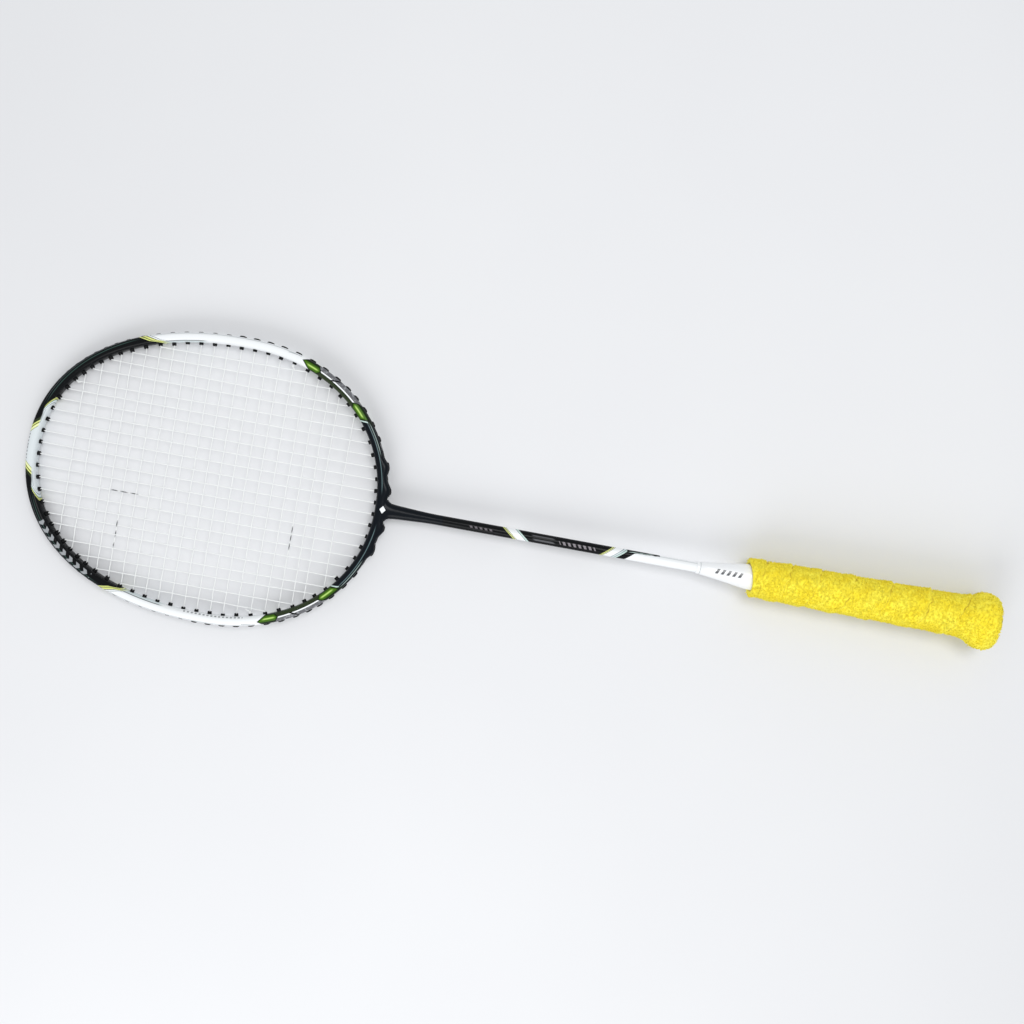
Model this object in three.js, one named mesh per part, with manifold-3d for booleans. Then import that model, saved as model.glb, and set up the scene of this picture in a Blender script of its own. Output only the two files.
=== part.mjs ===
// A badminton racket in millimetres. The origin is the middle of the butt's flat end, +X runs along the shaft
// to the tip of the head, and +Z is square to the string bed.
import * as THREE from "three";
import { mergeVertices } from "three/addons/utils/BufferGeometryUtils.js";
import Module from "manifold-3d";

const wasm = await Module();
wasm.setup();

// The head's centreline is a superellipse with a blunter half towards the tip.
const HEAD_MIDDLE = 540.7;
const HEAD_TO_TIP = 131;
const HEAD_TO_THROAT = 105;
const HEAD_HALF_WIDTH = 94.5;
const TIP_POWER = 2.2;
const THROAT_POWER = 2.1;

// The head's tube: half its width in the plane of the strings, half its height, and its string groove.
const TUBE_HALF = 3.3;
const TUBE_HALF_HEIGHT = 5.2;
const GROOVE_FLOOR = 1.9;
const GROOVE_HALF = 2.0;
// The tube swells outwards towards the throat, with two waves on each side of it.
const THROAT_SWELL = 0.22;
const SWELL_REACH = 38;
const WAVE_SWELL = 0.32;
const WAVE_PLACES = [13, 28];
const WAVE_HALF_LENGTH = 6.5;

// Strings
const MAIN_COUNT = 22;
const MAIN_PITCH = 7.83;
const CROSS_COUNT = 21;
const CROSS_PITCH = 8.98;
const FIRST_CROSS = 465.3;
const STRING_RADIUS = 0.34;
const WEAVE = 0.72;
const BORE_LANE = 0.4;
const GROOVE_LANE = 0.8;
const SETTLE = 12;
const STRING_STAND = 0.4;
const KNOT_RADIUS = 0.95;
const KNOT_RISE = 1.1;
const KNOT_STAND = 1.15;

// Holes and grommets
const HOLES_PER_SIDE = 38;
const LEAST_SPACING = 7.2;
const HOLE_RADIUS = 1.7;
const BARREL_RADIUS = 1.45;
const BARREL_BORE = 1.05;
const FLANGE_RADIUS = 1.85;
const FLANGE_THICKNESS = 0.35;
const BARREL_STAND = 1.5;
const SEAT_GAP = 0.06;
const SINGLES_PER_SIDE = 18;
const STRIP_LENGTH = 10;
const STRIP_HALF = 1.7;
const STRIP_OVERHANG = 2.7;

// Shaft and T-joint. A gap is left wherever one piece would be glued into another.
const GAP = 0.3;
const SHAFT_RADIUS = 3.5;
const SHAFT_BORE = 2.3;
const SHAFT_FRONT = 392;
const SHAFT_BACK = 108;
const SPIGOT_END = 368;
const STEM_PROFILE = [[410, 4.0], [426, 4.8], [434, 5.0]];
const NOTCH_START = 1.9;
const NOTCH_END = 8.2;
const NOTCH_LENGTH = 5.5;

// Cone: a thin skirt over the core's neck, then a long taper down to the shaft.
const CONE_BACK = 166.3;
const CONE_SEAT = 175.5;
const CONE_FRONT = 214;
const CONE_BORE = 3.8;
const CONE_SKIRT_BORE = 8.5;
const CONE_PROFILE = [[CONE_BACK, 9.2], [181, 8.9], [192, 6.9], [205, 5.1], [CONE_FRONT, 4.2]];

// Handle: the core's flats step in where the butt cap's socket takes them.
const CORE_BACK = 3.3;
const CORE_STEP = 30;
const CORE_IN_CAP = 9.9;
const CORE_BACK_HALF = 10.7;
const CORE_FRONT_HALF = 10.3;
const CORE_BORE = 3.75;
const NECK_RADIUS = 8.2;
const NECK_ROOT = 5;
const CAP_WALL = 3;
const CAP_PROFILE = [[0, 13.8], [3, 15.2], [8, 16.2], [13, 15.2], [20, 12.4], [CORE_STEP, 11]];

// Towelling: the half width across the flats, outside and inside.
const GRIP_FRONT = 181;
const TOWEL_OUTSIDE = [
  [0.8, 16.3],
  [2.2, 18.0],
  [4.5, 19.3],
  [8, 19.8],
  [12, 19.0],
  [16, 16.8],
  [20, 15.5],
  [30, 14.7],
  [45, 14.3],
  [110, 13.7],
  [178, 13.1],
  [GRIP_FRONT, 12.3],
];
const TOWEL_INSIDE = [
  [-1, 13.7],
  [3, 15.55],
  [8, 16.55],
  [13, 15.55],
  [20, 12.75],
  [CORE_STEP + 1, 11.1],
  [CONE_BACK, 10.65],
  [CONE_BACK + 2, 9.7],
  [GRIP_FRONT + 2, 9.55],
];

// How many straight lengths a turned body or a drilled hole is made of.
const SHAFT_SIDES = 16;
const CONE_SIDES = 20;
const HOLE_SIDES = 6;
const STRING_SIDES = 4;

const UP = new THREE.Vector3(0, 0, 1);

// Solids and booleans

function solidOf(geometry) {
  const bare = geometry.clone();
  bare.deleteAttribute("normal");
  bare.deleteAttribute("uv");
  const merged = mergeVertices(bare, 1e-4);
  return new wasm.Manifold(
    new wasm.Mesh({
      numProp: 3,
      vertProperties: new Float32Array(merged.attributes.position.array),
      triVerts: new Uint32Array(merged.index.array),
    }),
  );
}

function geometryOf(solid) {
  const mesh = solid.getMesh();
  const geometry = new THREE.BufferGeometry();
  geometry.setAttribute("position", new THREE.BufferAttribute(mesh.vertProperties, 3));
  geometry.setIndex(new THREE.BufferAttribute(mesh.triVerts, 1));
  geometry.computeVertexNormals();
  return geometry;
}

function joined(geometries) {
  return geometries.map(solidOf).reduce((all, one) => all.add(one));
}

// A route whose stations and section axes are given, so that a section is mitred at corners and can swell.
class Route extends THREE.Curve {
  constructor(stations) {
    super();
    this.stations = stations;
  }
  getSpacedPoints() {
    return this.stations.map((s) => s.at);
  }
  computeFrenetFrames() {
    return {
      tangents: this.stations.map((s) => s.across.clone().cross(s.up)),
      normals: this.stations.map((s) => s.across),
      binormals: this.stations.map((s) => s.up),
    };
  }
}

function sweep(shape, stations) {
  return new THREE.ExtrudeGeometry(shape, {
    steps: stations.length - 1,
    bevelEnabled: false,
    extrudePath: new Route(stations),
  });
}

function polygon(sides, radius, turn) {
  const shape = new THREE.Shape();
  for (let i = 0; i < sides; i++) {
    const angle = ((i + turn) / sides) * 2 * Math.PI;
    shape[i ? "lineTo" : "moveTo"](radius * Math.cos(angle), radius * Math.sin(angle));
  }
  return shape;
}

// A polygon of unit half width across its flats, at [x, half width] stations along the shaft's axis.
function prism(sides, stations) {
  const toCorner = 1 / Math.cos(Math.PI / sides);
  return sweep(
    polygon(sides, toCorner, 0.5),
    stations.map(([x, half]) => ({
      at: new THREE.Vector3(x, 0, 0),
      across: new THREE.Vector3(0, half, 0),
      up: new THREE.Vector3(0, 0, half),
    })),
  );
}

// A body turned about the shaft's axis. Its [x, radius] corners run towards the head along the outside. They
// start and end on the axis, or else the profile is closed.
function turned(corners, segments) {
  const profile = corners.map(([x, radius]) => new THREE.Vector2(radius, x));
  const closing = profile[0].x > 0 ? [profile[0]] : [];
  return new THREE.LatheGeometry([...profile, ...closing], segments).rotateZ(-Math.PI / 2);
}

// The ring and its holes

function ringPoint(angle) {
  const power = Math.cos(angle) > 0 ? TIP_POWER : THROAT_POWER;
  const reach = Math.cos(angle) > 0 ? HEAD_TO_TIP : HEAD_TO_THROAT;
  const lengthwise = Math.abs(Math.cos(angle) / reach) ** power;
  const sideways = Math.abs(Math.sin(angle) / HEAD_HALF_WIDTH) ** power;
  const radius = (lengthwise + sideways) ** (-1 / power);
  return new THREE.Vector3(
    HEAD_MIDDLE + radius * Math.cos(angle),
    radius * Math.sin(angle),
    0,
  );
}

function ringOutward(angle) {
  const step = 1e-3;
  const along = ringPoint(angle + step).sub(ringPoint(angle - step));
  return along.normalize().cross(UP);
}

function barrelEnd(angle) {
  return ringPoint(angle).addScaledVector(ringOutward(angle), -TUBE_HALF - BARREL_STAND);
}

// The angle between low and high where a measure that falls from low to high reaches zero.
function crossing(measure, low, high) {
  for (let i = 0; i < 40; i++) {
    const middle = (low + high) / 2;
    if (measure(middle) > 0) low = middle;
    else high = middle;
  }
  return (low + high) / 2;
}

function arc(from, to) {
  return ringPoint(from).distanceTo(ringPoint(to));
}

// The ends of the strings on the side where Y is positive, from the tip to the throat.
function stringEnds() {
  const ends = [];
  for (let i = 0; i < MAIN_COUNT / 2; i++) {
    const y = (i + 0.5) * MAIN_PITCH;
    const tip = crossing((a) => y - barrelEnd(a).y, 0, Math.PI / 2);
    const throat = crossing((a) => barrelEnd(a).y - y, Math.PI / 2, Math.PI);
    ends.push({ angle: tip, main: i, atTip: true }, { angle: throat, main: i, atTip: false });
  }
  for (let i = 0; i < CROSS_COUNT; i++) {
    const x = FIRST_CROSS + i * CROSS_PITCH;
    ends.push({ angle: crossing((a) => barrelEnd(a).x - x, 0, Math.PI), cross: i });
  }
  return ends.sort((a, b) => a.angle - b.angle);
}

// Where a main and a cross end close together they share a hole, until the wanted number of holes is left.
function sharedHoles(ends) {
  const holes = ends.map((end) => ({ angle: end.angle, ends: [end] }));
  while (holes.length > HOLES_PER_SIDE) {
    let closest = null;
    holes.slice(1).forEach((hole, i) => {
      const pair = [holes[i], hole];
      const mixed = pair.every((h) => h.ends.length === 1)
        && (pair[0].ends[0].main === undefined) !== (pair[1].ends[0].main === undefined);
      const gap = arc(pair[0].angle, pair[1].angle);
      if (mixed && (!closest || gap < closest.gap)) closest = { index: i, gap };
    });
    const [a, b] = holes.slice(closest.index, closest.index + 2);
    const both = { angle: (a.angle + b.angle) / 2, ends: [...a.ends, ...b.ends] };
    holes.splice(closest.index, 2, both);
  }
  return holes;
}

// Holes that are closer than the frame can carry move apart along the ring.
function spacedHoles(holes) {
  const rounds = 400;
  const ease = 0.25;
  for (let round = 0; round < rounds; round++) {
    for (let i = 1; i < holes.length; i++) {
      const short = LEAST_SPACING - arc(holes[i - 1].angle, holes[i].angle);
      if (short <= 0) continue;
      const turn = (ease * short) / HEAD_HALF_WIDTH;
      if (i > 1) holes[i - 1].angle -= turn;
      if (i < holes.length - 1) holes[i].angle += turn;
    }
  }
  return holes;
}

function swell(angle) {
  if (Math.cos(angle) > 0) return 1;
  const y = Math.abs(ringPoint(angle).y);
  const base = THROAT_SWELL * Math.max(0, 1 - y / SWELL_REACH);
  const waves = WAVE_PLACES.map((place) => Math.max(0, 1 - Math.abs(y - place) / WAVE_HALF_LENGTH));
  return 1 + base + WAVE_SWELL * Math.max(...waves);
}

// The ring's holes run from the throat on the +Y side, round the tip, to the throat on the -Y side. Its
// stations lie between the holes, so each hole goes square through one straight length of tube.
function makeRing() {
  const side = spacedHoles(sharedHoles(stringEnds()));
  const holes = [
    ...side.map((hole) => ({ ...hole, sign: 1 })).reverse(),
    ...side.map((hole) => ({ ...hole, angle: -hole.angle, sign: -1 })),
  ];
  const angles = holes.slice(1).map((hole, i) => (hole.angle + holes[i].angle) / 2);
  const stations = [Math.PI, ...angles, -Math.PI].map((angle) => ({ angle, at: ringPoint(angle) }));
  holes.forEach((hole, i) => {
    const [from, to] = [stations[i], stations[i + 1]];
    hole.along = to.at.clone().sub(from.at).normalize();
    hole.out = UP.clone().cross(hole.along);
    hole.middle = from.at.clone().add(to.at).multiplyScalar(0.5);
    hole.swell = (swell(from.angle) + swell(to.angle)) / 2;
    hole.floor = GROOVE_FLOOR * hole.swell + TUBE_HALF * (hole.swell - 1);
  });
  stations.forEach((station, i) => {
    const before = holes[(i - 1 + holes.length) % holes.length].out;
    const after = holes[i % holes.length].out;
    const out = before.clone().add(after).normalize();
    station.out = out.clone().divideScalar(out.dot(before));
    station.swell = swell(station.angle);
  });
  return { holes, stations };
}

const { holes, stations } = makeRing();

// A section's place at a ring station: it widens outwards only, so the head's inner edge keeps its line.
function ringFrame(station) {
  return {
    at: station.at.clone().addScaledVector(station.out, TUBE_HALF * (station.swell - 1)),
    across: station.out.clone().multiplyScalar(station.swell),
    up: UP,
  };
}

function mirroredShape(half) {
  const corners = [...half, ...half.map(([x, y]) => [x, -y]).reverse()];
  return corners.map(([x, y]) => new THREE.Vector2(x, y)).reverse();
}

const TUBE_OUTER = mirroredShape([
  [-TUBE_HALF, 2.5],
  [-1.5, TUBE_HALF_HEIGHT],
  [1.4, TUBE_HALF_HEIGHT],
  [TUBE_HALF, 2.9],
  [GROOVE_FLOOR, GROOVE_HALF],
]);
const TUBE_CAVITY = mirroredShape([
  [-2.3, 2.0],
  [-0.9, 4.2],
  [0.9, 4.2],
]);
const JOINT_SPIGOT = mirroredShape([
  [-2.0, 1.8],
  [-0.75, 3.85],
  [0.6, 3.85],
]);

// A geometry made about +Y, set on a hole with +Y pointing out of the head.
function onHole(geometry, hole) {
  const sideways = hole.out.clone().cross(UP);
  const place = new THREE.Matrix4().makeBasis(sideways, hole.out, UP).setPosition(hole.middle);
  return geometry.applyMatrix4(place);
}

function drill(hole, radius) {
  const length = 24;
  return onHole(new THREE.CylinderGeometry(radius, radius, length, HOLE_SIDES), hole);
}

// The T-joint fills the ring between the first stations on each side of the shaft, and its spigots reach the
// third ones.
const JOINT_STATIONS = 1;
const SPIGOT_STATIONS = 3;

function makeHeadFrame() {
  const shape = new THREE.Shape(TUBE_OUTER);
  shape.holes.push(new THREE.Path(TUBE_CAVITY));
  const tube = sweep(shape, stations.slice(JOINT_STATIONS, -JOINT_STATIONS).map(ringFrame));
  const drills = holes.slice(JOINT_STATIONS, -JOINT_STATIONS).map((hole) => drill(hole, HOLE_RADIUS));
  return geometryOf(solidOf(tube).subtract(joined(drills)));
}

// A ring station moved back along its neighbour, so that two lengths of the ring end a gap apart.
function shortOf(station, neighbour) {
  const frame = ringFrame(station);
  const towards = ringFrame(neighbour).at.sub(frame.at).normalize();
  frame.at.addScaledVector(towards, GAP);
  return frame;
}

function makeTeeJoint() {
  const throat = { ...stations[0], out: new THREE.Vector3(-1, 0, 0) };
  const last = stations.length - 1;
  const block = sweep(new THREE.Shape(TUBE_OUTER), [
    shortOf(stations[last - 1], throat),
    ringFrame(throat),
    shortOf(stations[1], throat),
  ]);
  const bar = sweep(new THREE.Shape(JOINT_SPIGOT), [
    ...stations.slice(-1 - SPIGOT_STATIONS, -1).map(ringFrame),
    ringFrame(throat),
    ...stations.slice(1, 1 + SPIGOT_STATIONS).map(ringFrame),
  ]);
  const plugRadius = SHAFT_BORE - GAP / 2;
  const stem = turned(
    [
      [SPIGOT_END, 0],
      [SPIGOT_END, plugRadius],
      [SHAFT_FRONT + GAP, plugRadius],
      [SHAFT_FRONT + GAP, SHAFT_RADIUS],
      ...STEM_PROFILE,
      [STEM_PROFILE.at(-1)[0], 0],
    ],
    SHAFT_SIDES,
  );
  const notches = [holes[0], holes.at(-1)].map((hole) => {
    const width = NOTCH_END - NOTCH_START;
    const floor = hole.middle.clone().addScaledVector(hole.out, hole.floor);
    return new THREE.BoxGeometry(NOTCH_LENGTH, width, 2 * GROOVE_HALF).translate(
      floor.x - NOTCH_LENGTH / 2,
      Math.sign(floor.y) * (NOTCH_START + width / 2),
      0,
    );
  });
  const nearHoles = [...holes.slice(0, SPIGOT_STATIONS + 1), ...holes.slice(-SPIGOT_STATIONS - 1)];
  const drills = nearHoles.map((hole) => drill(hole, HOLE_RADIUS));
  return geometryOf(joined([block, bar, stem]).subtract(joined([...notches, ...drills])));
}

// Grommets

function barrel(hole) {
  const seat = hole.floor + SEAT_GAP;
  const profile = [
    [BARREL_BORE, -TUBE_HALF - BARREL_STAND],
    [BARREL_RADIUS, -TUBE_HALF - BARREL_STAND],
    [BARREL_RADIUS, seat],
    [FLANGE_RADIUS, seat + FLANGE_THICKNESS],
    [BARREL_BORE, seat + FLANGE_THICKNESS],
    [BARREL_BORE, -TUBE_HALF - BARREL_STAND],
  ].map(([radius, height]) => new THREE.Vector2(radius, height));
  return new THREE.LatheGeometry(profile, HOLE_SIDES);
}

// Ten barrels under one band, which lies on the groove's floor and serves as their flange.
function makeStrip(row) {
  const first = holes.indexOf(row[0]);
  const middle = stations.slice(first + 1, first + row.length);
  const outer = (hole) => {
    const toEnd = stations[holes.indexOf(hole) + (hole === row[0] ? 0 : 1)].at.clone().sub(hole.middle);
    return { at: hole.middle.clone().add(toEnd.setLength(STRIP_OVERHANG)), out: hole.out };
  };
  const frames = [outer(row[0]), ...middle, outer(row.at(-1))];
  const low = GROOVE_FLOOR + SEAT_GAP;
  const section = mirroredShape([
    [low, STRIP_HALF],
    [low + FLANGE_THICKNESS, STRIP_HALF],
  ]);
  const band = sweep(
    new THREE.Shape(section),
    frames.map((frame) => ({ at: frame.at, across: frame.out, up: UP })),
  );
  const barrelLength = TUBE_HALF + BARREL_STAND + low + FLANGE_THICKNESS / 2;
  const barrels = row.map((hole) => {
    const tube = new THREE.CylinderGeometry(BARREL_RADIUS, BARREL_RADIUS, barrelLength, HOLE_SIDES);
    return onHole(tube.translate(0, barrelLength / 2 - TUBE_HALF - BARREL_STAND, 0), hole);
  });
  const bores = row.map((hole) => drill(hole, BARREL_BORE));
  return geometryOf(joined([band, ...barrels]).subtract(joined(bores)));
}

// Strings

function inGroove(hole, lane) {
  const lift = hole.floor + SEAT_GAP + FLANGE_THICKNESS + STRING_RADIUS + SEAT_GAP;
  return hole.middle.clone().addScaledVector(hole.out, lift).setZ(lane);
}

function atBarrelEnd(hole, lane) {
  const reach = TUBE_HALF + BARREL_STAND + STRING_STAND;
  return hole.middle.clone().addScaledVector(hole.out, -reach).setZ(lane);
}

// The run in the groove from one hole to another, past the stations and holes between them.
function alongGroove(from, to, lane) {
  const [a, b] = [holes.indexOf(from), holes.indexOf(to)];
  const step = Math.sign(b - a);
  const run = [inGroove(from, lane / 2)];
  for (let i = a; i !== b; i += step) {
    const station = stations[step > 0 ? i + 1 : i];
    const lift = inGroove(holes[i], 0).sub(holes[i].middle).dot(holes[i].out);
    const next = inGroove(holes[i + step], 0).sub(holes[i + step].middle).dot(holes[i + step].out);
    run.push(station.at.clone().addScaledVector(station.out, (lift + next) / 2).setZ(lane));
    if (i + step !== b) run.push(inGroove(holes[i + step], lane));
  }
  return [...run, inGroove(to, lane / 2)];
}

function mainHole(number, atTip) {
  const half = MAIN_COUNT / 2;
  const [sign, index] = number < half ? [1, half - 1 - number] : [-1, number - half];
  return holes.find((h) => h.sign === sign && h.ends.some((e) => e.main === index && e.atTip === atTip));
}

function crossHole(number, sign) {
  return holes.find((h) => h.sign === sign && h.ends.some((e) => e.cross === number));
}

// The nearest hole from a given one, going by step, that holds no string of the named kind.
function tieHole(hole, step, kind) {
  let index = holes.indexOf(hole) + step;
  while (holes[index].ends.some((end) => end[kind] !== undefined)) index += step;
  return holes[index];
}

function mainHeight(point, ends) {
  const distance = Math.min(...ends.map((end) => Math.hypot(point.x - end.x, point.y - end.y)));
  return BORE_LANE * Math.max(0, 1 - distance / SETTLE);
}

function mainLine(number) {
  return [false, true].map((atTip) => atBarrelEnd(mainHole(number, atTip), BORE_LANE));
}

function crossLine(number) {
  return [1, -1].map((sign) => atBarrelEnd(crossHole(number, sign), -BORE_LANE));
}

function knotAt(hole, lane) {
  return atBarrelEnd(hole, lane + Math.sign(lane) * KNOT_RISE).addScaledVector(hole.out, -KNOT_STAND);
}

function flatCrossing([a, b], [c, d]) {
  const [r, s] = [b.clone().sub(a), d.clone().sub(c)];
  const offset = c.clone().sub(a);
  const share = (offset.x * s.y - offset.y * s.x) / (r.x * s.y - r.y * s.x);
  return a.clone().addScaledVector(r, share);
}

// A tube of string through given points, mitred at each, with its section kept upright.
function stringTube(points) {
  const shortest = 0.05;
  const clean = points.filter((p, i) => !i || p.distanceTo(points[i - 1]) > shortest);
  const sideways = clean.slice(1).map((p, i) => {
    const along = p.clone().sub(clean[i]).setZ(0);
    return UP.clone().cross(along).normalize();
  });
  const frames = clean.map((at, i) => {
    const [before, after] = [sideways[Math.max(0, i - 1)], sideways[Math.min(i, sideways.length - 1)]];
    const across = before.clone().add(after).normalize();
    return { at, across: across.divideScalar(across.dot(before)), up: UP };
  });
  return sweep(polygon(STRING_SIDES, STRING_RADIUS, 0.5), frames);
}

function tiedString(points) {
  const knots = [points[0], points.at(-1)].map((at) => {
    return new THREE.IcosahedronGeometry(KNOT_RADIUS, 0).translate(at.x, at.y, at.z);
  });
  return geometryOf(joined([stringTube(points), ...knots]));
}

// The mains: one length from a knot by the throat, up and down the head, to a knot on the other side.
function makeMainString() {
  const points = [];
  const firstTie = tieHole(mainHole(0, false), 1, "main");
  points.push(knotAt(firstTie, BORE_LANE), atBarrelEnd(firstTie, BORE_LANE));
  points.push(...alongGroove(firstTie, mainHole(0, false), GROOVE_LANE));
  for (let number = 0; number < MAIN_COUNT; number++) {
    const toTip = number % 2 === 0;
    const line = mainLine(number);
    const ends = toTip ? line : line.toReversed();
    const inset = (from, to) => {
      return from.clone().add(to.clone().sub(from).setLength(SETTLE)).setZ(0);
    };
    points.push(ends[0], inset(ends[0], ends[1]), inset(ends[1], ends[0]), ends[1]);
    if (number + 1 < MAIN_COUNT) {
      points.push(...alongGroove(mainHole(number, toTip), mainHole(number + 1, toTip), GROOVE_LANE));
    }
  }
  const lastTie = tieHole(mainHole(MAIN_COUNT - 1, false), -1, "main");
  points.push(...alongGroove(mainHole(MAIN_COUNT - 1, false), lastTie, GROOVE_LANE));
  points.push(atBarrelEnd(lastTie, BORE_LANE), knotAt(lastTie, BORE_LANE));
  return tiedString(points);
}

// The crosses: one length woven over and under the mains, from the throat's end of the head to its tip.
function makeCrossString() {
  const points = [];
  const skip = 2;
  const firstTie = tieHole(crossHole(0, 1), -1, "cross");
  points.push(knotAt(firstTie, -BORE_LANE), atBarrelEnd(firstTie, -BORE_LANE));
  points.push(...alongGroove(firstTie, crossHole(0, 1), -GROOVE_LANE));
  for (let number = 0; number < CROSS_COUNT; number++) {
    const sign = number % 2 === 0 ? 1 : -1;
    const line = crossLine(number);
    const ends = sign > 0 ? line : line.toReversed();
    const woven = [];
    for (let main = 0; main < MAIN_COUNT; main++) {
      const mainEnds = mainLine(main);
      const point = flatCrossing(ends, mainEnds);
      const inside = Math.min(...[...ends, ...mainEnds].map((e) => Math.hypot(point.x - e.x, point.y - e.y)));
      const within = Math.abs(point.y) < Math.min(...ends.map((e) => Math.abs(e.y)));
      if (!within || inside < skip) continue;
      const side = (number + main) % 2 ? 1 : -1;
      woven.push(point.setZ(mainHeight(point, mainEnds) + side * WEAVE));
    }
    if (sign < 0) woven.reverse();
    points.push(ends[0], ...woven, ends[1]);
    if (number + 1 < CROSS_COUNT) {
      points.push(...alongGroove(crossHole(number, -sign), crossHole(number + 1, -sign), -GROOVE_LANE));
    }
  }
  const lastTie = tieHole(crossHole(CROSS_COUNT - 1, -1), -1, "cross");
  points.push(...alongGroove(crossHole(CROSS_COUNT - 1, -1), lastTie, -GROOVE_LANE));
  points.push(atBarrelEnd(lastTie, -BORE_LANE), knotAt(lastTie, -BORE_LANE));
  return tiedString(points);
}

// Shaft, cone and handle

function makeShaft() {
  return turned(
    [
      [SHAFT_BACK, SHAFT_RADIUS],
      [SHAFT_FRONT, SHAFT_RADIUS],
      [SHAFT_FRONT, SHAFT_BORE],
      [SHAFT_BACK, SHAFT_BORE],
    ],
    SHAFT_SIDES,
  );
}

function makeConeCap() {
  return turned(
    [
      ...CONE_PROFILE,
      [CONE_FRONT, CONE_BORE],
      [CONE_SEAT, CONE_BORE],
      [CONE_SEAT, CONE_SKIRT_BORE],
      [CONE_BACK, CONE_SKIRT_BORE],
    ],
    CONE_SIDES,
  );
}

function rod(from, to, radius) {
  return turned([[from, 0], [from, radius], [to, radius], [to, 0]], SHAFT_SIDES);
}

// The wooden core: a round neck in the cone, eight flats under the grip, and a step for the butt cap.
function makeHandleCore() {
  const body = prism(8, [
    [CORE_BACK, CORE_IN_CAP],
    [CORE_STEP + GAP, CORE_IN_CAP],
    [CORE_STEP + 2 * GAP, CORE_BACK_HALF],
    [CONE_BACK - GAP, CORE_FRONT_HALF],
  ]);
  const neck = rod(CONE_BACK - NECK_ROOT, CONE_SEAT - GAP, NECK_RADIUS);
  const bore = rod(SHAFT_BACK - 2, CONE_FRONT, CORE_BORE);
  return geometryOf(joined([body, neck]).subtract(solidOf(bore)));
}

function makeButtCap() {
  const socketHalf = CORE_IN_CAP + GAP;
  const socket = prism(8, [[CAP_WALL, socketHalf], [CORE_STEP + 10, socketHalf]]);
  return geometryOf(solidOf(prism(8, CAP_PROFILE)).subtract(solidOf(socket)));
}

// The towelling sleeve: round outside, following the core and the flared cap inside.
function makeTowelGrip() {
  return geometryOf(solidOf(prism(16, TOWEL_OUTSIDE)).subtract(solidOf(prism(8, TOWEL_INSIDE))));
}

// The assembly

const FINISHES = {
  carbon: { color: 0x0d1114, roughness: 0.3, metalness: 0.1 },
  whiteGloss: { color: 0xf2f3f4, roughness: 0.25, metalness: 0 },
  nylon: { color: 0x111214, roughness: 0.5, metalness: 0 },
  string: { color: 0xf4f4f0, roughness: 0.35, metalness: 0 },
  wood: { color: 0xc79a62, roughness: 0.7, metalness: 0 },
  capPlastic: { color: 0x17181a, roughness: 0.55, metalness: 0 },
  towel: { color: 0xf7dc1e, roughness: 1, metalness: 0 },
};

const racket = new THREE.Group();

function addPiece(name, geometry, finish, parent = racket) {
  const mesh = new THREE.Mesh(geometry, new THREE.MeshStandardMaterial(FINISHES[finish]));
  mesh.name = name;
  parent.add(mesh);
  return mesh;
}

const head = new THREE.Group();
racket.add(head);
addPiece("head_frame", makeHeadFrame(), "carbon", head);
addPiece("tee_joint", makeTeeJoint(), "carbon", head);
addPiece("main_string", makeMainString(), "string", head);
addPiece("cross_string", makeCrossString(), "string", head);

// On each side, single grommets from the throat and then two strips as far as the tip.
for (const [side, row] of [
  ["right", holes.slice(0, HOLES_PER_SIDE)],
  ["left", holes.slice(HOLES_PER_SIDE).reverse()],
]) {
  row.slice(0, SINGLES_PER_SIDE).forEach((hole, i) => {
    const number = String(i + 1).padStart(2, "0");
    addPiece(`grommet_${side}_${number}`, onHole(barrel(hole), hole), "nylon", head);
  });
  ["side", "tip"].forEach((place, i) => {
    const start = SINGLES_PER_SIDE + i * STRIP_LENGTH;
    const strip = row.slice(start, start + STRIP_LENGTH);
    const ordered = strip.sort((a, b) => holes.indexOf(a) - holes.indexOf(b));
    addPiece(`grommet_strip_${side}_${place}`, makeStrip(ordered), "nylon", head);
  });
}

addPiece("shaft", makeShaft(), "carbon");

const handle = new THREE.Group();
racket.add(handle);
addPiece("cone_cap", makeConeCap(), "whiteGloss", handle);
addPiece("handle_core", makeHandleCore(), "wood", handle);
addPiece("butt_cap", makeButtCap(), "capPlastic", handle);
addPiece("towel_grip", makeTowelGrip(), "towel", handle);

export default racket;
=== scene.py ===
import math

import bmesh
import bpy
import numpy as np
from mathutils import Matrix, Vector, noise


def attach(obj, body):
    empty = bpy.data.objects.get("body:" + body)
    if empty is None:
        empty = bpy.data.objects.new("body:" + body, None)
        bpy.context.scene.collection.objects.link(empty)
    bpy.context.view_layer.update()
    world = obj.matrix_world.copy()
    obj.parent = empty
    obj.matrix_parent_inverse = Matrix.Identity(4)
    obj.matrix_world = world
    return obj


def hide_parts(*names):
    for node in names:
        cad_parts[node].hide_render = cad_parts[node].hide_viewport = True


# The looks of a badminton racket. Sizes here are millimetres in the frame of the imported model, whose +X runs
# from the butt to the tip of the head, and which are turned to metres as a mesh is made.
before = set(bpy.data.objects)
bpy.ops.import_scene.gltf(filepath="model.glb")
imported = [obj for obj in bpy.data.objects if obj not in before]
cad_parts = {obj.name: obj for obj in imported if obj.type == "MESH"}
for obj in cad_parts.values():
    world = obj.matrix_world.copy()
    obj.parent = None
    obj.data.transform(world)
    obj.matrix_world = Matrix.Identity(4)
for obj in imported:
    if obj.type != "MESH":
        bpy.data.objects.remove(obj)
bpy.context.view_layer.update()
MM = 0.001

# ---------------------------------------------------------------- camera


def put(name, data):
    """A new object in the scene."""
    piece = bpy.data.objects.new(name, data)
    bpy.context.scene.collection.objects.link(piece)
    return piece


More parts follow.
